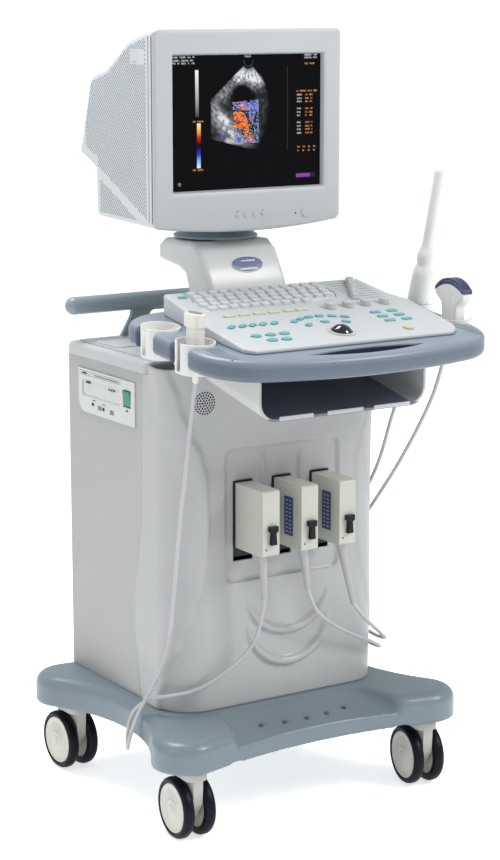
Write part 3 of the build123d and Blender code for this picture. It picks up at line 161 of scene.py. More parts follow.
def surface(
    name,
    color,
    rough=0.45,
    grain=900,
    bump=0.12,
    mottle=0.05,
    edge=0.05,
    radius=0.0012,
    coat=0.0,
    specular=0.5,
    dust=0.04,
    recolor=None,
):
    """Moulded plastic, paint or rubber with grain, slight mottling, worn edges and soft dust."""
    tree = Tree(name)
    place = tree.add("ShaderNodeTexCoord").outputs["Object"]
    broad = tree.add("ShaderNodeTexNoise", Scale=7.0, Detail=3.0, Roughness=0.6)
    fine = tree.add("ShaderNodeTexNoise", Scale=float(grain), Detail=2.0, Roughness=0.55)
    smear = tree.add(
        "ShaderNodeTexNoise", Scale=38.0, Detail=4.0, Roughness=0.65, Distortion=0.4
    )
    for texture in (broad, fine, smear):
        tree.link(place, texture.inputs["Vector"])
    light = tuple(min(1, channel * (1 + mottle)) for channel in color)
    dark = tuple(channel * (1 - mottle) for channel in color)
    base = tree.mix(broad.outputs["Fac"], dark, light)
    if recolor:
        base = recolor(tree, place, base)
    grime = tree.math("MULTIPLY", smear.outputs["Fac"], dust)
    base = tree.mix(grime, base, DUST_COLOR)
    bevel = tree.add("ShaderNodeBevel", samples=4, Radius=radius)
    wide = tree.add("ShaderNodeBevel", samples=4, Radius=radius * 1.8)
    geometry = tree.add("ShaderNodeNewGeometry")
    turn = tree.add("ShaderNodeVectorMath", operation="DOT_PRODUCT")
    tree.link(geometry.outputs["Normal"], turn.inputs[0])
    tree.link(wide.outputs["Normal"], turn.inputs[1])
    worn = tree.math("SUBTRACT", 1.0, turn.outputs["Value"])
    worn = tree.math("MULTIPLY", worn, edge * 12)
    worn = tree.math("MINIMUM", worn, edge * 4)
    pale = tuple(min(1, channel * 1.25 + 0.05) for channel in color)
    base = tree.mix(worn, base, pale)
    tree.link(base, tree.shader["Base Color"])
    rise = tree.add("ShaderNodeBump", Strength=bump, Distance=0.0004)
    tree.link(fine.outputs["Fac"], rise.inputs["Height"])
    tree.link(bevel.outputs["Normal"], rise.inputs["Normal"])
    tree.link(rise.outputs["Normal"], tree.shader["Normal"])
    spread = tree.math("MULTIPLY_ADD", smear.outputs["Fac"], 0.14, rough - 0.07)
    tree.link(spread, tree.shader["Roughness"])
    tree.shader["IOR"].default_value = 1.47
    tree.shader["Specular IOR Level"].default_value = specular
    tree.shader["Coat Weight"].default_value = coat
    tree.shader["Coat Roughness"].default_value = 0.12
    return tree.material


def bin_recolor(tree, place, base):
    """Dark inner faces of the storage bin."""
    x, y, z = tree.split(place)
    slope = math.tan(math.radians(BIN_TILT))
    side = tree.math("ABSOLUTE", x)
    lift = tree.math("MULTIPLY_ADD", y, -slope, BIN_FRONT_Y * slope - BIN_FLOOR_Z)
    height = tree.math("MULTIPLY", tree.math("ADD", z, lift), 0.978)
    over = tree.math("SUBTRACT", side, 0.127)
    under = tree.math("SUBTRACT", 0.03, height)
    inside = tree.all_of(
        tree.compare(tree.past_corner(over, under), 0.028, above=False),
        tree.compare(y, BIN_LIP_Y),
        tree.compare(z, 0.6),
        tree.compare(x, 0.131, above=False),
    )
    lip = tree.all_of(
        tree.compare(y, BIN_LIP_Y, above=False),
        tree.compare(z, 0.6825, above=False),
        tree.compare(side, 0.142, above=False),
    )
    return tree.mix(tree.math("MAXIMUM", inside, lip), base, (0.19, 0.19, 0.25))


def depth_below(tree, y, z, tilt, height, reference_y):
    """How far a place lies under a face that rises towards the back by tilt degrees."""
    slope = math.tan(math.radians(tilt))
    top = tree.math("MULTIPLY_ADD", y, slope, height - reference_y * slope)
    return tree.math("SUBTRACT", top, z)


def table_painted_shade(tree, place, base):
    """Painted shade on the table: its moulded rim painted darker than the top, and painted shadow
    in its finger slot.
    """
    x, y, z = tree.split(place)
    depth = depth_below(tree, y, z, TABLE_TILT, TABLE_Z, TABLE_Y)
    # painted shade: faces more than 7 mm under the top plane are painted darker than the top
    base = tree.mix(tree.compare(depth, 0.007, width=0.005), base, (0.115, 0.148, 0.192))
    # painted shadow: near-black over the finger slot's faces more than 2.2 mm under the top
    slot_shadow = tree.all_of(
        tree.compare(depth, 0.0022),
        tree.compare(tree.math("ABSOLUTE", x), 0.111, above=False),
        tree.compare(y, -0.3268),
        tree.compare(y, -0.2865, above=False),
    )
    return tree.mix(slot_shadow, base, (0.018, 0.02, 0.045))


def panel_groove_shade(tree, place, base):
    """Painted shade in the sliders' grooves of the control panel."""
    x, y, z = tree.split(place)
    # painted shade: faces more than 0.8 mm under the panel top, in the sliders' area, painted dark
    groove_shade = tree.all_of(
        tree.compare(depth_below(tree, y, z, PANEL_TILT, PANEL_Z, PANEL_Y), 0.0008),
        tree.compare(x, 0.1165),
        tree.compare(x, 0.1815, above=False),
        tree.compare(y, -0.104),
        tree.compare(y, -0.014, above=False),
    )
    return tree.mix(groove_shade, base, (0.05, 0.055, 0.075))


def media_recolor(tree, place, base):
    """The panel's rounded outline: the side's colour outside it."""
    _, y, z = tree.split(place)
    corner_y, corner_z, radius = MEDIA_CORNER
    reach = tree.past_corner(
        tree.math("SUBTRACT", y, corner_y), tree.math("SUBTRACT", corner_z, z)
    )
    return tree.mix(tree.compare(reach, radius, width=0.0006), base, SIDE_COLOR)


def convex_recolor(tree, place, base):
    """Dark blue lens over the curved end of the convex probe."""
    _, y, z = tree.split(place)
    away = tree.math("POWER", tree.math("ADD", y, 0.192), 2.0)
    rim = tree.math("MULTIPLY_ADD", away, -10.5, 0.8565)
    return tree.mix(tree.compare(z, rim), base, (0.03, 0.035, 0.1))


def linear_recolor(tree, place, base):
    """Grey acoustic window on the linear probe's end."""
    z = tree.split(place)[2]
    return tree.mix(tree.compare(z, 0.8441), base, (0.2, 0.21, 0.25))


def connector_recolor(tree, place, base):
    """Grey cable boots, and painted shade on the plugs where they enter the cabinet."""
    _, y, z = tree.split(place)
    base = tree.mix(tree.compare(z, 0.4378, above=False), base, (0.4, 0.41, 0.41))
    # painted shade: the plugs dark from just behind the cover's front face inwards
    return tree.mix(tree.compare(y, -0.069), base, (0.05, 0.05, 0.06))


BLUE = surface("blue_grey_plastic", (0.175, 0.228, 0.265), rough=0.3, grain=1300, bump=0.08)
HANDLE = surface("handle_plastic", (0.24, 0.3, 0.335), rough=0.35, grain=1300, bump=0.08)
TABLE = surface(
    "table_plastic", (0.22, 0.265, 0.32), rough=0.33, grain=1300, bump=0.08, recolor=table_painted_shade
)
CABINET = surface("cabinet_plastic", (0.415, 0.425, 0.423), rough=0.33, grain=1400, bump=0.05)
SIDE = surface("cabinet_paint", SIDE_COLOR, rough=0.45, grain=700, bump=0.2)
LID = surface("lid_plastic", (0.47, 0.49, 0.5), rough=0.38)
PANEL = surface("panel_plastic", (0.51, 0.535, 0.545), rough=0.4, grain=1500, recolor=panel_groove_shade)
MEDIA = surface("media_plastic", (0.58, 0.6, 0.6), rough=0.4, recolor=media_recolor)
COLUMN = surface("column_plastic", (0.64, 0.65, 0.64), rough=0.3, grain=1500, bump=0.06)
MONITOR = surface("monitor_plastic", (0.46, 0.485, 0.5), rough=0.42, grain=1500, bump=0.1)
SHELL = surface("shell_plastic", (0.57, 0.6, 0.62), rough=0.42, grain=1500, bump=0.1)
WHITE = surface("white_plastic", (0.76, 0.76, 0.745), rough=0.28, bump=0.05, coat=0.2)
CONVEX = surface("convex_plastic", (0.74, 0.74, 0.71), rough=0.28, coat=0.2, recolor=convex_recolor)
LINEAR = surface("linear_plastic", (0.74, 0.73, 0.67), rough=0.3, coat=0.2, recolor=linear_recolor)
CREAM = surface("connector_plastic", (0.5, 0.515, 0.455), rough=0.42, recolor=connector_recolor)
BIN = surface("bin_plastic", (0.58, 0.585, 0.575), rough=0.45, recolor=bin_recolor)
STRIP = surface("strip_plastic", (0.55, 0.56, 0.57), rough=0.4)
BLACK = surface("black_plastic", (0.004, 0.004, 0.007), rough=0.3, specular=0.25, dust=0.002)
BALL = surface("ball", (0.003, 0.003, 0.01), rough=0.06, bump=0.0, coat=1.0, edge=0.0, dust=0.0)
STEEL = surface("painted_steel", (0.1, 0.105, 0.11), rough=0.45)
KEY = surface("key_plastic", (0.6, 0.625, 0.64), rough=0.4, radius=0.0008)
KEY_PALE = surface("pale_key_plastic", (0.56, 0.57, 0.45), rough=0.4, radius=0.0008)
TEAL = surface("teal_plastic", (0.12, 0.38, 0.42), rough=0.35, radius=0.0008)
BEIGE = surface("beige_plastic", (0.56, 0.54, 0.36), rough=0.4)
KNOB = surface("knob_plastic", (0.5, 0.51, 0.49), rough=0.4)
GREEN = surface("green_plastic", (0.01, 0.22, 0.12), rough=0.35)
CABLE = surface("cable_rubber", (0.46, 0.47, 0.48), rough=0.42, grain=1600, radius=0.0003)
TYRE = surface(
    "tyre_rubber", (0.003, 0.003, 0.009), 0.4, grain=700, bump=0.2, dust=0.004, specular=0.2
)
DISC = surface("caster_plastic", (0.6, 0.6, 0.53), rough=0.4)
FORK = surface("caster_fork_plastic", (0.5, 0.5, 0.46), rough=0.4)
LABEL = surface("label_film", (0.04, 0.06, 0.17), rough=0.3, dust=0.0)
LABEL_MARK = surface("label_marks", (0.35, 0.38, 0.5), rough=0.3)
# hole_dark: painted shade of holes (speaker, screw holes), also the dark media marks and lamp;
# vent_dark: painted shade of the shell's vent holes, also its seam lines and button marks
HOLE = surface("hole_dark", (0.01, 0.011, 0.016), rough=0.6, specular=0.2)
DOT = surface("vent_dark", (0.2, 0.22, 0.24), rough=0.6, specular=0.2)
BADGE = surface("badge_blue", (0.03, 0.06, 0.2), rough=0.2, coat=0.6)
BADGE_RIM = surface("badge_rim", (0.72, 0.74, 0.76), rough=0.2, coat=0.6)
BADGE_GREY = surface("badge_silver", (0.12, 0.16, 0.24), rough=0.25, coat=0.6)
SOCKET = surface("socket_plastic", (0.01, 0.01, 0.012), rough=0.6)


# ---- mesh helpers
def make_object(name, verts, faces, body, materials, indices=None, sharp=35):
    """A mesh piece with smooth shading and sharp edges above an angle, riding on a body."""
    mesh = bpy.data.meshes.new(name)
    mesh.from_pydata([tuple(v) for v in verts], [], faces)
    for material in materials:
        mesh.materials.append(material)
    if indices:
        mesh.polygons.foreach_set("material_index", indices)
    mesh.validate()
    mesh.polygons.foreach_set("use_smooth", [True] * len(mesh.polygons))
    mesh.set_sharp_from_angle(angle=math.radians(sharp))
    piece = bpy.data.objects.new(name, mesh)
    scene.collection.objects.link(piece)
    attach(piece, body)
    return piece


def ring_faces(rings, count, start=0, close=False):
    """Quads between consecutive rings of count points, ring after ring in one list."""
    faces = []
    total = rings if close else rings - 1
    for ring in range(total):
        a = start + ring * count
        b = start + ((ring + 1) % rings) * count
        for i in range(count):
            j = (i + 1) % count
            faces.append((a + i, a + j, b + j, b + i))
    return faces


def loft(name, rings, body, materials, caps=(True, True), sharp=35):
    """A skin over rings of equal length, closed at the ends on request."""
    count = len(rings[0])
    verts = [point for ring in rings for point in ring]
    faces = [tuple(reversed(face)) for face in ring_faces(len(rings), count)]
    if caps[0]:
        faces.append(tuple(range(count)))
    if caps[1]:
        last = (len(rings) - 1) * count
        faces.append(tuple(reversed(range(last, last + count))))
    return make_object(name, verts, faces, body, materials, sharp=sharp)


def add_wall(piece, thickness):
    """Gives a skin a wall that grows inwards."""
    wall = piece.modifiers.new("wall", "SOLIDIFY")
    wall.thickness = thickness
    wall.offset = -1


def lathe_parts(centre, axis, profiles, steps=64):
    """Vertices, faces and material indices of closed profiles turned about an axis."""
    axis = Vector(axis).normalized()
    side = axis.orthogonal().normalized()
    up = axis.cross(side)
    verts, faces, indices = [], [], []
    for index, profile in enumerate(profiles):
        start = len(verts)
        for step in range(steps):
            angle = math.tau * step / steps
            spoke = side * math.cos(angle) + up * math.sin(angle)
            for along, radius in profile:
                verts.append(Vector(centre) + axis * along + spoke * max(radius, 1e-5))
        new = ring_faces(steps, len(profile), start, close=True)
        faces += new
        indices += [index] * len(new)
    return verts, faces, indices


def rounded(half_width, half_height, radius, corner=6):
    """Points round a rectangle with round corners, counter-clockwise."""
    points = []
    for sx, sy, first in ((1, 1, 0), (-1, 1, 90), (-1, -1, 180), (1, -1, 270)):
        for step in range(corner + 1):
            angle = math.radians(first + 90 * step / corner)
            x = sx * (half_width - radius) + radius * math.cos(angle)
            y = sy * (half_height - radius) + radius * math.sin(angle)
            points.append((x, y))
    return points


def ellipse(half_width, half_height, steps=40):
    """Points round an ellipse, counter-clockwise."""
    turns = [math.tau * step / steps for step in range(steps)]
    return [(half_width * math.cos(turn), half_height * math.sin(turn)) for turn in turns]


def soften(node, material, width):
    """Gives a CAD node its material, smooth shading and, for a width above 0, rounded edges."""
    piece = NODES[node]
    mesh = piece.data
    mesh.materials.clear()
    mesh.materials.append(material)
    for name in ("custom_normal", "sharp_face"):
        if name in mesh.attributes:
            mesh.attributes.remove(mesh.attributes[name])
    mesh.polygons.foreach_set("use_smooth", [True] * len(mesh.polygons))
    weld = piece.modifiers.new("weld", "WELD")
    weld.merge_threshold = 0.00001
    if width:
        flat = piece.modifiers.new("flat", "DECIMATE")
        flat.decimate_type = "DISSOLVE"
        flat.angle_limit = math.radians(1.0)
        bevel = piece.modifiers.new("bevel", "BEVEL")
        bevel.width = width
        bevel.segments = 3
        bevel.limit_method = "ANGLE"
        bevel.angle_limit = math.radians(38)
        bevel.harden_normals = True
    else:
        split = piece.modifiers.new("split", "EDGE_SPLIT")
        split.split_angle = math.radians(32)


# ---- cables
CABLE_DIAMETER = 0.0063
ROUTES = {
    "cable_linear": (
        (-229.5, -177, 738), (-228, -161, 682), (-226, -144, 607), (-223, -121, 528),
        (-220, -101, 440), (-217, -84, 360), (-217, -69, 288), (-224, -44, 232), (-244, -26, 186),
        (-254, -12, 142), (-256, -2, 113), (-248, 13, 102), (-241, 27, 115), (-240, 22, 145),
        (-240, 0, 176), (-228, -34, 200), (-208, -62, 206), (-172, -80, 214), (-132, -85, 232),
        (-92, -97, 262), (-70, -112, 303), (-70, -124, 362),
    ),
    "cable_endocavity": (
        (14, -124, 366), (27, -119, 336), (52, -108, 310), (97, -99, 279), (156, -92, 250),
        (196, -76, 228), (221, -38, 213), (227, 12, 210), (228, 58, 232), (226, 80, 290),
        (223, 72, 362), (220, 38, 436), (217, -8, 492), (226, -31, 545), (243, -33, 606),
        (254, -52, 672), (257, -84, 726), (257, -84, 768),
    ),
    "cable_convex": (
        (104, -124, 330), (122, -119, 308), (152, -108, 282), (190, -92, 252), (222, -58, 232),
        (237, -6, 222), (240, 46, 228), (240, 88, 264), (238, 92, 326), (235, 60, 386),
        (221, 8, 434), (202, -50, 478), (209, -86, 527), (217.5, -119, 580), (229, -148, 638),
        (235, -172, 690), (238, -184, 736),
    ),
}  # fmt: skip


def make_cable(node, route):
    """A smooth NURBS cable along its route, fixed to the machine."""
    curve = bpy.data.curves.new(node + "_line", "CURVE")
    curve.dimensions = "3D"
    spline = curve.splines.new("NURBS")
    spline.points.add(len(route) - 1)
    for point, place in zip(spline.points, route):
        point.co = (*mm(*place), 1)
    spline.order_u = 3
    spline.use_endpoint_u = True
    spline.resolution_u = 10
    curve.bevel_depth = CABLE_DIAMETER / 2
    curve.bevel_resolution = 5
    curve.use_fill_caps = True
    curve.materials.append(CABLE)
    piece = bpy.data.objects.new(node + "_line", curve)
    scene.collection.objects.link(piece)
    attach(piece, "machine")
    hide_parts(node)


for cable_node, cable_route in ROUTES.items():
    make_cable(cable_node, cable_route)

# ---- carried-over nodes
CORNERS = ("front_left", "front_right", "rear_left", "rear_right")
CARRIED_OVER = (
    (STEEL, 0.001, ["chassis_frame"]),
    (STEEL, 0.0, ["internal_electronics"]),
    (SIDE, 0.001, ["cabinet_side_covers"]),
    (SIDE, 0.0, ["cabinet_rear_cover"]),
    (LID, 0.0, ["cabinet_top_cover"]),
    (MEDIA, 0.0, ["media_panel"]),
    (PANEL, 0.0006, ["disc_tray"]),
    (GREEN, 0.0012, ["power_rocker"]),
    (SOCKET, 0.0, ["probe_port_sockets"]),
    (CREAM, 0.0, ["probe_connectors"]),
    (BLACK, 0.0, [f"connector_lever_{k}" for k in (1, 2, 3)] + ["picture_tube"]),
    (TABLE, 0.0, ["console_table"]),
    (PANEL, 0.0, ["control_panel"]),
    (PANEL, 0.0008, [f"tgc_slider_{k}" for k in range(1, 9)]),
    (BIN, 0.0, ["storage_bin"]),
    (HANDLE, 0.0, ["rear_handle"]),
    (WHITE, 0.0008, ["probe_cups", "probe_rings"]),
    (BALL, 0.0, ["trackball"]),
    (KNOB, 0.0, [f"knob_{k}" for k in range(1, 5)]),
    (KEY, 0.0008, ["keyboard_keys"]),
    (KEY_PALE, 0.0008, ["soft_keys"]),
    (TEAL, 0.0008, ["function_keys"]),
    (BEIGE, 0.0, ["freeze_key"]),
    (COLUMN, 0.0, ["monitor_column"]),
    (BLUE, 0.0, ["swivel_dish"]),
    (MONITOR, 0.0, ["monitor_buttons", "monitor_power_button"]),
    (WHITE, 0.0, ["endocavity_probe"]),
    (CONVEX, 0.0, ["convex_probe"]),
    (LINEAR, 0.0, ["linear_probe"]),
    (FORK, 0.001, [f"caster_fork_{corner}" for corner in CORNERS]),
)
for plastic, edge_width, node_names in CARRIED_OVER:
    for node_name in node_names:
        soften(node_name, plastic, edge_width)


# ---- caster wheels
def make_wheels(corner_name):
    """Twin wheels: dark rounded tyres round pale discs with a raised rim and hub."""
    low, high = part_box(f"caster_wheels_{corner_name}")
    joint = next(j for j in frame["joints"] if j["child"] == f"wheels_{corner_name}")
    axis = Vector(joint["axis"]).normalized()
    centre = (Vector(low) + Vector(high)) / 2
    verts, faces, indices = [], [], []
    tyre = [
        (9.8, 38), (9.6, 44), (11.2, 47.8), (15, 49.8), (20, 50), (24, 49.3), (27, 47.2),
        (28.4, 44.4), (28.2, 41.6), (27.2, 40.6), (26.0, 40.2), (26.0, 36), (14, 36),
    ]  # fmt: skip
    disc = [
        (12.5, 6.0), (12.5, 38), (26.4, 40), (27.3, 39.4), (27.5, 38), (27.3, 36.6), (26.6, 35.4),
        (26.6, 27.5), (27.0, 26.6), (27.0, 17), (27.6, 15.8), (28.4, 14.8), (28.6, 13), (28.6, 6.0),
    ]  # fmt: skip
    hub = [
        (12, 5.3), (12, 7), (29, 7), (29.2, 6.4), (29.2, 0.001), (27.6, 0.001), (27.6, 5.3),
    ]  # fmt: skip
    for side in (1, -1):
        for index, profile in enumerate((tyre, disc, hub)):
            turned = [(side * a * MM, r * MM) for a, r in profile]
            if side < 0:
                turned.reverse()
            new_verts, new_faces, _ = lathe_parts(centre, axis, [turned], steps=72)
            start = len(verts)
            verts += new_verts
            faces += [tuple(i + start for i in face) for face in new_faces]
            indices += [index] * len(new_faces)
    body = f"wheels_{corner_name}"
    piece = make_object(body + "_skin", verts, faces, body, [TYRE, DISC, STRIP], indices, sharp=40)
    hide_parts(f"caster_wheels_{corner_name}")


for corner_name in CORNERS:
    make_wheels(corner_name)


# ---- smoothed base cover
def smooth_step(low, high, value):
    """0 below low, 1 above high, with a soft start and end."""
    t = min(1.0, max(0.0, (value - low) / (high - low)))
    return t * t * (3 - 2 * t)


def remeshed(node, name, voxel, material, weight, rounds):
    """A copy of a CAD node in even quads, relaxed where weight(point) is above zero."""
    source = NODES[node]
    copy = bpy.data.objects.new(name, source.data.copy())
    scene.collection.objects.link(copy)
    modifier = copy.modifiers.new("even", "REMESH")
    modifier.mode = "VOXEL"
    modifier.voxel_size = voxel
    graph = bpy.context.evaluated_depsgraph_get()
    mesh = bpy.data.meshes.new_from_object(copy.evaluated_get(graph))
    copy.modifiers.clear()
    copy.data = mesh
    count = len(mesh.vertices)
    points = np.empty(count * 3)
    mesh.vertices.foreach_get("co", points)
    points = points.reshape(-1, 3)
    edges = np.empty(len(mesh.edges) * 2, dtype=np.int64)
    mesh.edges.foreach_get("vertices", edges)
    edges = edges.reshape(-1, 2)
    degree = np.bincount(edges.ravel(), minlength=count)[:, None]
    weights = np.array([weight(*point) for point in points])[:, None]
    for _ in range(rounds):
        total = np.empty_like(points)
        for column in range(3):
            total[:, column] = np.bincount(
                edges[:, 0], points[edges[:, 1], column], minlength=count
            ) + np.bincount(edges[:, 1], points[edges[:, 0], column], minlength=count)
        points += weights * 0.6 * (total / degree - points)
    mesh.vertices.foreach_set("co", points.ravel())
    mesh.materials.clear()
    mesh.materials.append(material)
    mesh.polygons.foreach_set("use_smooth", [True] * len(mesh.polygons))
    mesh.update()
    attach(copy, "machine")
    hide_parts(node)
    return copy


def line_distance(x, y, start, end):
    """Distance from a point to a segment in plan."""
    dx, dy = end[0] - start[0], end[1] - start[1]
    t = ((x - start[0]) * dx + (y - start[1]) * dy) / (dx * dx + dy * dy)
    t = min(1.0, max(0.0, t))
    return math.hypot(x - start[0] - t * dx, y - start[1] - t * dy)


def base_weight(x, y, z):
    """Strong relaxing along the footrest's edges, a little over the rest of the skin."""
    ends = (((-0.130, -0.088), (-0.187, -0.26)), ((0.130, -0.088), (0.187, -0.26)))
    near = min(line_distance(x, y, *pair) for pair in ends)
    near = min(near, line_distance(x, y, (-0.130, -0.088), (0.130, -0.088)) * 1.6)
    return max(0.12, 1 - smooth_step(0.004, 0.015, near))


base_skin = remeshed("base_cover", "base_skin", 0.003, BLUE, base_weight, 16)

# ---- cabinet front cover
FRONT_HALF, FRONT_Y, FRONT_SEAM_Y, FRONT_RADIUS = 204.0, -71.0, 27.0, 60.0
FRONT_LOW, FRONT_HIGH = 172.2, 735.0
SLOT_X, SLOT_HALF, SLOT_LOW, SLOT_HIGH = (-74.0, 0.0, 74.0), 19.0, 415.0, 548.0
STRAIGHT = FRONT_SEAM_Y - (FRONT_Y + FRONT_RADIUS)
ARC = math.pi / 2 * FRONT_RADIUS
FLAT = 2 * (FRONT_HALF - FRONT_RADIUS)
SEAM_WAVE = ((172, 14), (225, 27), (290, 34), (352, 33), (420, 17), (485, 6), (550, 3), (735, 3))
PILLAR_EDGE = (
    (172, -232), (235, -217), (282, -196), (335, -174), (383, -157), (432, -149), (481, -146),
    (556, -149), (594, -158), (632, -175), (682, -192), (740, -212),
)  # fmt: skip


def interpolate(table, value):
    """Smooth interpolation in a table of (key, value) pairs."""
    if value <= table[0][0]:
        return table[0][1]
    for (k0, v0), (k1, v1) in zip(table, table[1:]):
        if value <= k1:
            return v0 + (v1 - v0) * smooth_step(k0, k1, value)
    return table[-1][1]


def front_place(s, z):
    """Point and outward normal of the cover's plan at path length s from the left seam."""
    mirrored = s > STRAIGHT + ARC + FLAT / 2
    if mirrored:
        s = 2 * STRAIGHT + 2 * ARC + FLAT - s
    if s < STRAIGHT:
        y0 = FRONT_SEAM_Y + interpolate(SEAM_WAVE, z)
        y1 = FRONT_Y + FRONT_RADIUS
        x, y, nx, ny = -FRONT_HALF, y0 + (y1 - y0) * s / STRAIGHT, -1.0, 0.0
    elif s < STRAIGHT + ARC:
        angle = (s - STRAIGHT) / FRONT_RADIUS
        nx, ny = -math.cos(angle), -math.sin(angle)
        x = -FRONT_HALF + FRONT_RADIUS + FRONT_RADIUS * nx
        y = FRONT_Y + FRONT_RADIUS + FRONT_RADIUS * ny
    else:
        x, y, nx, ny = -FRONT_HALF + FRONT_RADIUS + s - STRAIGHT - ARC, FRONT_Y, 0.0, -1.0
    return (-x, y, -nx, ny) if mirrored else (x, y, nx, ny)


def smile_height(x, z, ends_z, low_z, half, width, height):
    """Height of a rounded arc rib that tapers out at its ends."""
    if abs(x) > half + 4:
        return 0.0
    sag = ends_z - low_z
    radius = (half * half + sag * sag) / (2 * sag)
    centre_z = low_z + radius
    along = min(1.0, abs(math.atan2(x, centre_z - z)) / math.asin(half / radius))
    fade = max(0.0, 1 - along**3) ** 0.7
    gap = abs(math.hypot(x, z - centre_z) - radius) / max(width * (0.35 + 0.65 * fade), 0.5)
    return height * fade * max(0.0, 1 - gap * gap) ** 0.5 if gap < 1 else 0.0


def front_relief(x, y, s, z):
    """Outward height of the cover's moulded relief, in mm."""
    relief = 0.0
    edge = interpolate(PILLAR_EDGE, z)
    run = x if abs(x) <= 144 else math.copysign(144 + abs(s_from_front(s)), x)
    side = abs(run) - abs(edge)
    crease = 6.5 if x < 0 else 2.2
    relief += crease * smooth_step(-9, 1.5, side) * (1 - smooth_step(1.5, 60, side))
    u = max(abs(x) - 96, 0.0), max(abs(z - 490) - 96, 0.0)
    panel = math.hypot(*u) - 14
    if abs(x) < 140:
        relief -= 5.0 * (1 - smooth_step(-2.6, 1.0, panel))
    for rib_x in (-36, 36):
        across = abs(x - rib_x) / 4.2
        if across < 1 and 420 < z < 590:
            lift = smooth_step(590, 572, z) if z > 572 else 1.0
            relief += 6.5 * lift * (1 - across * across) ** 0.5
    relief += smile_height(x - 12, z, 347, 286, 80, 7.5, 8.0)
    relief += smile_height(x - 12, z, 318, 233, 78.5, 7.5, 8.0)
    if abs(x) < 130 and z < 400:
        bowl = 1 - smooth_step(40, 125, math.hypot(x, (z - 330) * 0.9))
        relief -= 3.0 * bowl
    return relief


def s_from_front(s):
    """Path length past the flat front's nearest end, measured round the corner."""
    first, last = STRAIGHT + ARC, STRAIGHT + ARC + FLAT
    return first - s if s < first else max(0.0, s - last)


def make_front_cover():
    """Skin of the front cover on a grid that follows its slots, with walls turned inwards."""
    total = 2 * STRAIGHT + 2 * ARC + FLAT
    columns = set(np.linspace(0, total, 190).round(3))
    middle = total / 2
    cuts = [middle + x + side * SLOT_HALF for x in SLOT_X for side in (-1, 1)]
    columns = sorted(c for c in columns if min(abs(c - cut) for cut in cuts) > 0.9) + cuts
    columns = sorted(columns)
    rows = [r for r in np.linspace(FRONT_LOW, FRONT_HIGH, 200)]
    rows = [r for r in rows if min(abs(r - SLOT_LOW), abs(r - SLOT_HIGH), abs(r - 720)) > 0.9]
    rows = sorted(rows + [SLOT_LOW, SLOT_HIGH, 720.0])
    verts = []
    for s in columns:
        for z in rows:
            x, y, nx, ny = front_place(s, z)
            lift = front_relief(x, y, s, z)
            verts.append(mm(x + nx * lift, y + ny * lift, z))
    faces = []
    step = len(rows)
    for i in range(len(columns) - 1):
        s_mid = (columns[i] + columns[i + 1]) / 2 - middle
        in_slot = any(abs(s_mid - x) < SLOT_HALF for x in SLOT_X)
        back = columns[i] < STRAIGHT * 0.4 or columns[i + 1] > total - STRAIGHT * 0.4
        for j in range(step - 1):
            z_mid = (rows[j] + rows[j + 1]) / 2
            if in_slot and SLOT_LOW < z_mid < SLOT_HIGH:
                continue
            if back and z_mid > 720:
                continue
            a = i * step + j
            faces.append((a, a + step, a + step + 1, a + 1))
    cover = make_object("front_cover_skin", verts, faces, "machine", [CABINET], sharp=50)
    add_wall(cover, 0.003)
    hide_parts("cabinet_front_cover")


make_front_cover()


# ---- small flat marks
def discs(name, spots, body, material, radius, depth=0.0003, sides=8):
    """Low round studs in one mesh; each spot is (place, outward direction)."""
    verts, faces = [], []
    for place, out in spots:
        out = Vector(out).normalized()
        side = out.orthogonal().normalized()
        up = out.cross(side)
        start = len(verts)
        for level in (-depth, depth):
            for step in range(sides):
                angle = math.tau * step / sides
                spoke = side * math.cos(angle) + up * math.sin(angle)
                verts.append(Vector(place) + out * level + spoke * radius)
        for step in range(sides):
            j = (step + 1) % sides
            faces.append((start + step, start + j, start + sides + j, start + sides + step))
        faces.append(tuple(start + sides + k for k in range(sides)))
        faces.append(tuple(start + k for k in reversed(range(sides))))
    make_object(name, verts, faces, body, [material], sharp=30)


def plates(name, frames, body, materials, height=0.0004, sink=0.0004):
    """Thin rounded plates: each frame is (centre, right, up, half width, half height, radius)."""
    verts, faces, indices = [], [], []
    for centre, right, up, half_w, half_h, radius, *index in frames:
        right, up = Vector(right).normalized(), Vector(up).normalized()
        out = right.cross(up)
        outline = ellipse(half_w, half_h) if radius is None else rounded(half_w, half_h, radius, 4)
        start = len(verts)
        count = len(outline)
        bevel = height * 0.5
        if radius is None:
            inner = ellipse(half_w - bevel, half_h - bevel)
        else:
            inner = rounded(half_w - bevel, half_h - bevel, max(radius - bevel, 1e-5), 4)
        for ring, level in ((outline, -sink), (outline, height * 0.6), (inner, height)):
            for x, y in ring:
                verts.append(mm(*centre) + right * x + up * y + out * level)
        faces += ring_faces(3, count, start)
        faces.append(tuple(start + 2 * count + k for k in range(count)))
        faces.append(tuple(start + k for k in reversed(range(count))))
        indices += [index[0] if index else 0] * (2 * count + 2)
    make_object(name, verts, faces, body, materials, indices, sharp=30)


# speaker: painted shade of rings of holes on a round patch, as low dark discs
speaker_hole_shade_spots = []
for ring, count in ((0, 1), (4.4, 6), (8.8, 12), (13.2, 18), (17.4, 24)):
    for step in range(count):
        angle = math.tau * step / count
        z = 681 + ring * math.sin(angle)
        s_here = STRAIGHT + ARC - 4 + ring * math.cos(angle)
        x, y, nx, ny = front_place(s_here, z)
        lift = front_relief(x, y, s_here, z)
        speaker_hole_shade_spots.append((mm(x + nx * lift, y + ny * lift, z), (nx, ny, 0)))
discs("speaker_hole_shade", speaker_hole_shade_spots, "machine", HOLE, 0.0015)

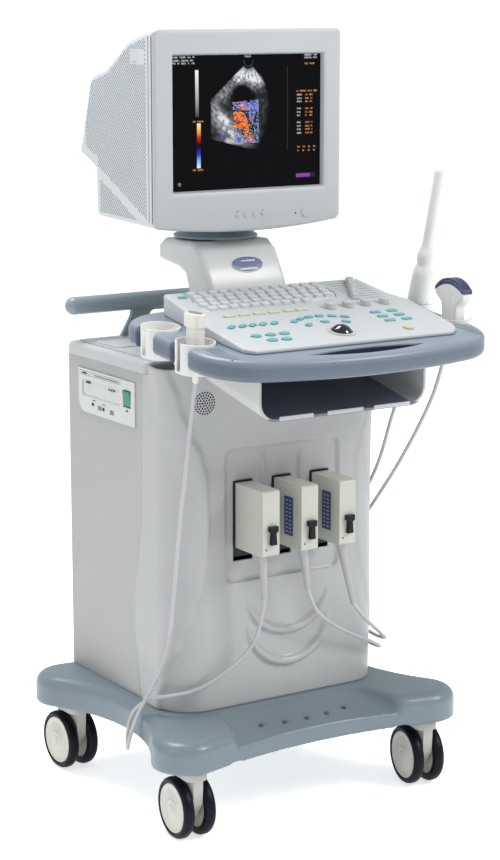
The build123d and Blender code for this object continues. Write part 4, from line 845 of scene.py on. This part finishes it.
# labels on the connectors, and painted shade of their screw holes
label_frames = []
for x, z in ((0, 490), (74, 490)):
    label_frames.append(((x - 16.1, -112, z), (0, -1, 0), (0, 0, 1), 0.0125, 0.032, 0.002, 0))
    for row in range(9):
        for column in range(2):
            spot = (x - 16.5, -107 - 9.5 * column, z - 26 + row * 6.4)
            label_frames.append((spot, (0, -1, 0), (0, 0, 1), 0.0026, 0.0012, 0.0006, 1))
plates("connector_labels", label_frames, "machine", [LABEL, LABEL_MARK])
# painted shade of the screw holes: low dark discs
screw_hole_shade_spots = [(mm(x - 9, -149.1, 450), (0, -1, 0)) for x in (-74, 0, 74)]
discs("connector_hole_shade", screw_hole_shade_spots, "machine", HOLE, 0.0014, sides=12)

# painted shade of the footrest's five small dimples, as low dark discs
FOOT_SLOPE = math.radians(12.64)
dimple_shade_spots = []
for x, drop in ((-84, 50), (-42, 55), (0, 57), (41, 55), (79, 50)):
    place = mm(x, -88 - drop * math.cos(FOOT_SLOPE), 168.2 - drop * math.sin(FOOT_SLOPE))
    dimple_shade_spots.append((place, (0, -math.sin(FOOT_SLOPE), math.cos(FOOT_SLOPE))))
discs("footrest_dimple_shade", dimple_shade_spots, "machine", STEEL, 0.0034, 0.0009, 24)

# light strips on the bin's front lip
strip_frames = []
for low_x, high_x in ((-121, -58), (-32, 36), (56, 126)):
    centre = ((low_x + high_x) / 2, -242.2, 681.2)
    strip_frames.append((centre, (1, 0, 0), (0, 0, 1), (high_x - low_x) / 2000, 0.0032, 0.0016))
plates("bin_strips", strip_frames, "machine", [STRIP], height=0.0012)

# badge on the column's face
def on_column(x, z, out=0.0):
    """A point on the column's sloping face, out from it by some mm."""
    return (x, 31 + (z - 848) * 32 / 54 - 0.86 * out, z + 0.51 * out)


COLUMN_UP = (0, 32, 54)
plates(
    "column_badge",
    [
        (on_column(8, 879), (1, 0, 0), COLUMN_UP, 0.0315, 0.015, None, 2),
        (on_column(8, 879, 0.5), (1, 0, 0), COLUMN_UP, 0.0298, 0.0133, None, 1),
        (on_column(8, 882.2, 1.0), (1, 0, 0), COLUMN_UP, 0.0272, 0.0088, None, 0),
        (on_column(10, 884, 1.8), (1, 0, 0), COLUMN_UP, 0.0135, 0.0012, 0.001, 2),
        (on_column(8, 871.6, 1.2), (1, 0, 0), COLUMN_UP, 0.0175, 0.0014, 0.001, 2),
    ],
    "machine",
    [BADGE, BADGE_GREY, BADGE_RIM],
    height=0.0012,
)

# marks of the media panel
media_frames = []
for y, z, half_y, half_z in (
    (212, 678, 7, 1.6), (140, 676, 2, 1.4), (132, 676, 2, 1.4), (124, 676, 2, 1.4),
    (150, 692.8, 40, 0.5), (224, 692.5, 8, 1.2), (196, 643, 3.4, 2.6), (160, 640, 3.4, 2.6),
    (192, 650, 5, 0.6), (158, 648, 5, 0.6), (81, 650, 3, 1.4),
):  # fmt: skip
    media_frames.append(
        ((-203.6, y, z), (0, -1, 0), (0, 0, 1), half_y * MM, half_z * MM, min(half_z, 1) * MM * 0.8)
    )
plates("media_marks", media_frames, "machine", [HOLE], height=0.0003)

# anti-slip ridges on the table's front corners
table_tilt = math.radians(TABLE_TILT)
table_up = (0, math.cos(table_tilt), math.sin(table_tilt))
ridge_frames = []
for side in (-1, 1):
    for row in range(9):
        y = -286 + 8 * row
        place = (side * (231 - abs(row - 4)), y, 790 + (y + 269) * math.tan(table_tilt))
        ridge_frames.append((place, (1, 0, 0), table_up, (7 + row * 0.8) * MM, 0.0009, 0.0008))
plates("table_ridges", ridge_frames, "machine", [BLUE], height=0.0008)


# ---- monitor shell
SHELL_STATIONS = (
    (36, 948, 1258), (44, 948, 1257.6), (53, 948, 1257), (74, 948, 1254), (94, 948, 1250),
    (115, 948, 1245.5), (135, 948, 1240), (152, 948, 1232), (169, 948, 1222.5), (186, 948, 1214),
    (208, 948, 1203), (230, 948, 1194), (254, 948, 1189.5), (264.5, 948, 1188), (267, 952, 1187.5),
    (268, 1020, 1187), (270, 1026, 1186.8), (278, 1028, 1185.5), (285, 1030.5, 1181),
    (292, 1033, 1174), (305, 1037, 1143), (320, 1042, 1107), (332, 1046, 1078), (339, 1049, 1062),
)  # fmt: skip


def shell_half(y):
    """Half-width of the shell at y."""
    return 178 - 0.12 * (y - 36)


shell_rings = []
for y, bottom, top in SHELL_STATIONS:
    radius = min(9, (top - bottom) * 0.4)
    half = shell_half(y) - (0.9 if y < 40 else 0.0)
    outline = rounded(half, (top - bottom) / 2, radius, 5)
    shell_rings.append([mm(x, y, z + (top + bottom) / 2) for x, z in outline])
shell = loft("shell_skin", shell_rings, "monitor", [SHELL], caps=(False, True), sharp=38)
add_wall(shell, 0.003)
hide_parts("monitor_shell")


def top_of_shell(y):
    """Height of the shell's top line at y."""
    for (y0, _, z0), (y1, _, z1) in zip(SHELL_STATIONS, SHELL_STATIONS[1:]):
        if y <= y1:
            return z0 + (z1 - z0) * (y - y0) / (y1 - y0)
    return SHELL_STATIONS[-1][2]


# painted shade of the shell's vent holes: low dark discs in staggered rows on both sides
vent_shade_spots = []
for row in range(96):
    for column in range(36):
        y = 62 + 7.8 * column + (3.9 if row % 2 else 0)
        z = 955 + 3.4 * row
        if y > 325 or z > top_of_shell(y) - 11:
            continue
        upper = z - (957 + (y - 74) * 0.352)
        in_upper = upper > 9 and (y < 262 or z > 1048 + (y - 262) * 0.25)
        in_lower = upper < -9 and y < 256 and z > 957
        in_patch = 62 < y < 122 and 1204 < z < 1230
        if (in_upper or in_lower) and not in_patch and y < 318:
            for side in (-1, 1):
                spot = mm(side * shell_half(y), y, z)
                vent_shade_spots.append((spot, (side, 0.12, 0)))
discs("shell_vent_shade", vent_shade_spots, "monitor", DOT, 0.00155, depth=0.00025, sides=8)

groove_frames = []
for side in (-1, 1):
    for y in (37.5, 50):
        x = side * (shell_half(y) + 0.05)
        groove_frames.append(((x, y, 1103), (0, -side, 0), (0, 0, 1), 0.0006, 0.146, 0.0004))
    groove_frames.append(
        ((side * shell_half(92), 92, 1217), (0, -side, 0.02), (0, 0.02, 1), 0.024, 0.007, 0.003, 1)
    )
plates("shell_seams", groove_frames, "monitor", [DOT, SHELL], height=0.0003)

# ---- monitor bezel
def bezel_ring(inset, low, high, half, radius, sag, y):
    """Ring of the bezel: a round-cornered frame line whose lower side bows down by sag."""
    half, low, high = half - inset, low + inset, high - inset
    points = []
    for sx, sz, first in ((1, 1, 0), (-1, 1, 90), (-1, -1, 180), (1, -1, 270)):
        for step in range(7):
            angle = math.radians(first + 15 * step)
            x = sx * (half - radius) + radius * math.cos(angle)
            base = high - radius if sz > 0 else low + radius
            points.append((x, base + radius * math.sin(angle)))
        corner = points[-1]
        reach = {(1, 1): (-1, 0), (-1, 1): (0, -1), (-1, -1): (1, 0), (1, -1): (0, 1)}[sx, sz]
        length = 2 * (half - radius) if reach[0] else high - low - 2 * radius
        for step in range(1, 16):
            run = length * step / 16
            points.append((corner[0] + reach[0] * run, corner[1] + reach[1] * run))
    ring = []
    for x, z in points:
        bow = sag * max(0.0, 1 - (x / half) ** 2) * (1 if z < low + radius * 1.01 else 0)
        ring.append(mm(x, y, z - bow))
    return ring


OUTER = (948, 1260, 178)
OPENING = (1001.8, 1222.2, 145.4)
bezel_rings = [
    bezel_ring(2.0, *OUTER, 9, 11.5, 36.2),
    bezel_ring(0, *OUTER, 9, 12, 35.6),
    bezel_ring(0, *OUTER, 9, 12, 32.5),
    bezel_ring(0.5, *OUTER, 9, 12, 30.4),
    bezel_ring(1.6, *OUTER, 9, 12, 29.0),
    bezel_ring(3.4, *OUTER, 9, 12, 28.3),
    bezel_ring(7.0, *OUTER, 9, 11, 28.0),
    bezel_ring(-7.0, *OPENING, 5, 1.0, 28.05),
    bezel_ring(0, *OPENING, 3, 0, 28.3),
    bezel_ring(0.8, *OPENING, 3, 0, 29.0),
    bezel_ring(3.0, *OPENING, 2, 0, 34.6),
    bezel_ring(3.2, *OPENING, 2, 0, 36.2),
]
bezel = loft("bezel_skin", bezel_rings + bezel_rings[:1], "monitor", [MONITOR], (False, False), 50)
bezel_weld = bezel.modifiers.new("weld", "WELD")
bezel_weld.merge_threshold = 0.00001
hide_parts("monitor_bezel")
FRONTWARD = (0, -1, 0)
collar_spots = [(mm(x, 28, 963), FRONTWARD) for x in (-24, -8, 9, 26)]
discs("button_collars", collar_spots, "monitor", MONITOR, 0.0052, 0.0006, 28)
power_spots = [(mm(108, 28, 961), FRONTWARD)]
discs("power_collar", power_spots, "monitor", MONITOR, 0.0088, 0.0006, 36)

# ---- screen
SCREEN_HALF, SCREEN_LOW, SCREEN_HIGH = 142.6, 1004.4, 1219.6
SCREEN_COLUMNS, SCREEN_ROWS = 330, 250


def blob(u, v, centre_u, centre_v, size_u, size_v, turn=0.0):
    """A soft spot of height 1."""
    du, dv = u - centre_u, v - centre_v
    a = du * math.cos(turn) + dv * math.sin(turn)
    b = dv * math.cos(turn) - du * math.sin(turn)
    return np.exp(-((a / size_u) ** 2) - (b / size_v) ** 2)


def lumpy(random, u, v, cells_u, cells_v):
    """Smooth value noise between 0 and 1 on a grid of cells."""
    grid = random.random_sample((cells_v + 2, cells_u + 2))
    x, y = np.clip(u, 0, 0.999) * cells_u, np.clip(v, 0, 0.999) * cells_v
    i, j = x.astype(int), y.astype(int)
    fx, fy = x - i, y - j
    fx, fy = fx * fx * (3 - 2 * fx), fy * fy * (3 - 2 * fy)
    low = grid[j, i] * (1 - fx) + grid[j, i + 1] * fx
    high = grid[j + 1, i] * (1 - fx) + grid[j + 1, i + 1] * fx
    return low * (1 - fy) + high * fy


def paint_screen(u, v):
    """Colours of an invented echo picture with a flow box, scales and plain dashes."""
    random = np.random.RandomState(11)
    picture = np.full((*u.shape, 3), 0.002)
    across, down = (u - 0.505) * 284, (v - 0.05) * 214
    reach, angle = np.hypot(across, down), np.degrees(np.arctan2(across, down))
    ray, depth = (angle + 90) / 180, reach / 160
    echo = 0.14 + 0.75 * np.exp(-(((reach - 26) / 15) ** 2))
    for gain, *spot in (
        (0.95, 0.335, 0.5, 0.12, 0.045, 0.95), (0.6, 0.42, 0.64, 0.1, 0.04),
        (0.4, 0.57, 0.2, 0.05, 0.08, 0.6), (0.35, 0.37, 0.25, 0.04, 0.12, 0.7),
        (-0.5, 0.47, 0.27, 0.07, 0.09),
    ):  # fmt: skip
        echo += gain * blob(u, v, *spot)
    echo *= 0.45 + 0.9 * lumpy(random, ray, depth, 60, 26)
    echo *= 0.6 + 0.7 * lumpy(random, ray, depth, 22, 60)
    echo *= 0.75 + 0.5 * random.random_sample(u.shape)
    right = 45 - np.clip((reach - 40) * 0.38, 0, 42)
    inside = (reach > 11) & (reach < 139 + 4 * np.sin(angle / 9)) & (angle > -50) & (u > 0.253)
    fade = np.clip((right - angle) / 9, 0, 1) * np.clip((reach - 11) / 4, 0, 1)
    echo = np.clip(echo, 0, 1) ** 1.6 * fade * inside
    picture += echo[..., None] * np.array([0.92, 0.95, 1.0])
    # flow box: blue above, red and orange below, broken up by speckle
    box = (u > 0.395 + (v - 0.36) * 0.06) & (u < 0.57)
    box &= (v > 0.345 + (0.48 - u) * 0.1) & (v < 0.655)
    field = lumpy(random, u, v, 34, 30) * 0.55 + lumpy(random, u, v, 70, 60) * 0.45
    red = box & (field + 0.55 * blob(u, v, 0.465, 0.5, 0.05, 0.13, -0.35) > 0.74)
    blue = box & ~red & (field + 0.5 * blob(u, v, 0.5, 0.38, 0.09, 0.04) < 0.95) & (field > 0.47)
    blue |= box & ~red & (blob(u, v, 0.5, 0.385, 0.075, 0.03) > 0.35)
    glow = lumpy(random, u, v, 90, 80)
    picture[red] = np.stack([0.55 + 0.4 * glow, 0.05 + 0.28 * glow**2, 0.01 + 0 * glow], -1)[red]
    picture[blue] = np.stack([0.05 + 0.2 * glow, 0.07 + 0.25 * glow, 0.35 + 0.5 * glow], -1)[blue]
    spark = box & (random.random_sample(u.shape) > 0.93)
    picture[spark] = (0.8, 0.85, 0.85)
    for spot_u, spot_v in ((0.33, 0.6), (0.44, 0.62), (0.36, 0.55)):
        tint = (blob(u, v, spot_u, spot_v, 0.018, 0.03) > 0.5) & (glow > 0.55)
        picture[tint] = (0.12, 0.1, 0.5)
    # the probe's contact arc
    picture[(reach < 9) & (reach > 8) & (down > -2)] = (0.08, 0.08, 0.08)
    # grey scale bar and colour scale bar
    bar = (u > 0.152) & (u < 0.174) & (v > 0.11) & (v < 0.45)
    picture[bar] = np.repeat(np.clip(1 - (v - 0.11) / 0.36, 0.02, 1)[bar][:, None], 3, 1)
    scale = (u > 0.163) & (u < 0.186) & (v > 0.5) & (v < 0.83)
    stops = (0.5, 0.54, 0.6, 0.655, 0.67, 0.73, 0.79, 0.83)
    bands = ((1, 0.95, 0.6), (1, 0.6, 0.1), (0.7, 0.02, 0), (0.02, 0, 0)), (
        (0, 0, 0.03), (0.02, 0.05, 0.6), (0.3, 0.6, 1), (0.9, 0.95, 1),
    )  # fmt: skip
    for channel in range(3):
        values = [color[channel] for half in bands for color in half]
        picture[..., channel][scale] = np.interp(v[scale], stops, values)

    def dashes(low_u, high_u, lines, color, height=0.012, seed=1, words=(0.012, 0.05)):
        """Rows of short dashes that stand for text."""
        spread = np.random.RandomState(seed)
        for line in lines:
            cursor = low_u
            while cursor < high_u:
                word = words[0] + spread.random_sample() * (words[1] - words[0])
                run = min(word, high_u - cursor)
                mark = (u > cursor) & (u < cursor + run) & (abs(v - line) < height / 2)
                mark &= random.random_sample(u.shape) > 0.25
                picture[mark] = color
                cursor += run + 0.012

    white, orange = (0.5, 0.5, 0.5), (0.55, 0.24, 0.05)
    dashes(0.008, 0.15, (0.018, 0.04, 0.062), white, seed=3)
    dashes(0.885, 0.975, (0.012, 0.034), white, seed=4)
    dashes(0.89, 0.955, (0.078,), orange, seed=5)
    dashes(0.478, 0.525, (0.018,), white, seed=6)
    dashes(0.83, 0.975, (0.282,), orange, seed=7)
    rows = [0.31 + 0.0262 * k for k in range(12) if k not in (3, 7)]
    dashes(0.835, 0.868, rows, white, seed=8, words=(0.02, 0.035))
    dashes(0.892, 0.945, rows, orange, seed=9, words=(0.015, 0.035))
    for column in (0.838, 0.873, 0.912, 0.95):
        dashes(column, column + 0.018, (0.703, 0.729), orange, seed=10)
    dashes(0.135, 0.205, (0.486, 0.845), orange, seed=12)
    purple = (u > 0.83) & (u < 0.93) & (v > 0.905) & (v < 0.935)
    picture[purple] = (0.3, 0.06, 0.4)
    picture[(u > 0.93) & (u < 0.965) & (v > 0.905) & (v < 0.935)] = (0.03, 0.02, 0.05)
    picture[(abs(u - 0.77) < 0.0012) & (v > 0.09) & (v < 0.72)] = (0.05, 0.05, 0.06)
    picture[np.hypot((u - 0.05) * 284, (v - 0.945) * 214) < 3] = (0.2, 0.2, 0.2)
    return picture


def make_screen():
    """The slightly domed tube face, painted point by point."""
    u = np.linspace(0, 1, SCREEN_COLUMNS)[None, :].repeat(SCREEN_ROWS, 0)
    v = np.linspace(0, 1, SCREEN_ROWS)[:, None].repeat(SCREEN_COLUMNS, 1)
    x = -SCREEN_HALF + 2 * SCREEN_HALF * u
    z = SCREEN_HIGH - (SCREEN_HIGH - SCREEN_LOW) * v
    dome = 2.4 * (1 - (2 * u - 1) ** 2) * (1 - (2 * v - 1) ** 2)
    y = 35.9 - dome
    points = np.stack([x, y, z], -1).reshape(-1, 3) * MM
    index = np.arange(SCREEN_ROWS * SCREEN_COLUMNS).reshape(SCREEN_ROWS, SCREEN_COLUMNS)
    quads = np.stack([index[:-1, :-1], index[1:, :-1], index[1:, 1:], index[:-1, 1:]], -1)
    tree = Tree("screen_picture")
    paint = tree.add("ShaderNodeVertexColor")
    paint.layer_name = "picture"
    mask = tree.add("ShaderNodeTexNoise", Scale=900.0, Detail=1.0)
    tree.link(tree.add("ShaderNodeTexCoord").outputs["Object"], mask.inputs["Vector"])
    tone = tree.add("ShaderNodeVectorMath", operation="SCALE")
    tree.link(paint.outputs["Color"], tone.inputs[0])
    tree.link(tree.math("MULTIPLY_ADD", mask.outputs["Fac"], 0.3, 0.85), tone.inputs["Scale"])
    tree.link(tone.outputs["Vector"], tree.shader["Emission Color"])
    tree.shader["Base Color"].default_value = (0.002, 0.002, 0.003, 1)
    tree.shader["Emission Strength"].default_value = 0.95
    tree.shader["Roughness"].default_value = 0.25
    tree.shader["Specular IOR Level"].default_value = 0.04
    faces = quads.reshape(-1, 4).tolist()
    screen = make_object(
        "screen_face", points.tolist(), faces, "monitor", [tree.material], sharp=60
    )
    colors = np.ones((len(points), 4))
    colors[:, :3] = paint_screen(u, v).reshape(-1, 3)
    layer = screen.data.color_attributes.new("picture", "FLOAT_COLOR", "POINT")
    layer.data.foreach_set("color", colors.ravel())
    add_wall(screen, 0.0015)


make_screen()

# the small lamp by the power button and the dashes over the other buttons
lamp_spots = [(mm(89, 27.9, 961), FRONTWARD)]
discs("power_lamp", lamp_spots, "monitor", HOLE, 0.0014, sides=16)
button_frames = [
    ((x, 27.9, 969.5), (1, 0, 0), (0, 0, 1), 0.0028, 0.0004, 0.0003) for x in (-24, 26)
]
plates("button_marks", button_frames, "monitor", [DOT], height=0.0002)

# ---- floor and lights
floor_mesh = bpy.data.meshes.new("floor")
FLOOR_HALF = 150
floor_corners = [
    (x * FLOOR_HALF, y * FLOOR_HALF, 0) for x, y in ((-1, -1), (1, -1), (1, 1), (-1, 1))
]
floor_mesh.from_pydata(floor_corners, [], [(0, 1, 2, 3)])
floor = bpy.data.objects.new("floor", floor_mesh)
scene.collection.objects.link(floor)
tree = Tree("floor")
patches = tree.add("ShaderNodeTexNoise", Scale=2.0).outputs["Fac"]
tree.link(tree.mix(patches, (0.9,) * 3, (0.93,) * 3), tree.shader["Base Color"])
tree.shader["Roughness"].default_value = 0.9
tree.shader["Emission Color"].default_value = (0.97, 0.985, 1, 1)
seen_directly = tree.add("ShaderNodeLightPath").outputs["Is Camera Ray"]
glow = tree.math("MULTIPLY_ADD", seen_directly, 0.25, 0.4)
tree.link(glow, tree.shader["Emission Strength"])
floor_mesh.materials.append(tree.material)

scene.view_settings.view_transform = "Standard"
world = bpy.data.worlds.new("studio")
world.use_nodes = True
world_nodes, world_links = world.node_tree.nodes, world.node_tree.links
soft_sky = world_nodes["Background"]
soft_sky.inputs["Color"].default_value = (0.97, 0.985, 1, 1)
soft_sky.inputs["Strength"].default_value = 0.5
backdrop = world_nodes.new("ShaderNodeBackground")
backdrop.inputs["Color"].default_value = (1, 1, 1, 1)
backdrop.inputs["Strength"].default_value = 1.05
seen = world_nodes.new("ShaderNodeLightPath")
chooser = world_nodes.new("ShaderNodeMixShader")
world_links.new(seen.outputs["Is Camera Ray"], chooser.inputs[0])
world_links.new(soft_sky.outputs[0], chooser.inputs[1])
world_links.new(backdrop.outputs[0], chooser.inputs[2])
world_links.new(chooser.outputs[0], world_nodes["World Output"].inputs["Surface"])
scene.world = world


def area_light(name, place, target, size, power):
    """A soft square light at place, facing target."""
    data = bpy.data.lights.new(name, "AREA")
    data.size = size
    data.energy = power
    light = bpy.data.objects.new(name, data)
    scene.collection.objects.link(light)
    light.location = place
    direction = Vector(target) - Vector(place)
    light.rotation_euler = direction.to_track_quat("-Z", "Y").to_euler()


area_light("key", (1.9, -2.6, 2.9), (0, 0, 0.7), 1.2, 78)
area_light("fill", (-3.4, -0.6, 1.9), (0, 0, 0.6), 1.6, 17)
area_light("top", (-0.4, 1.0, 3.3), (0, 0, 0.7), 1.6, 85)
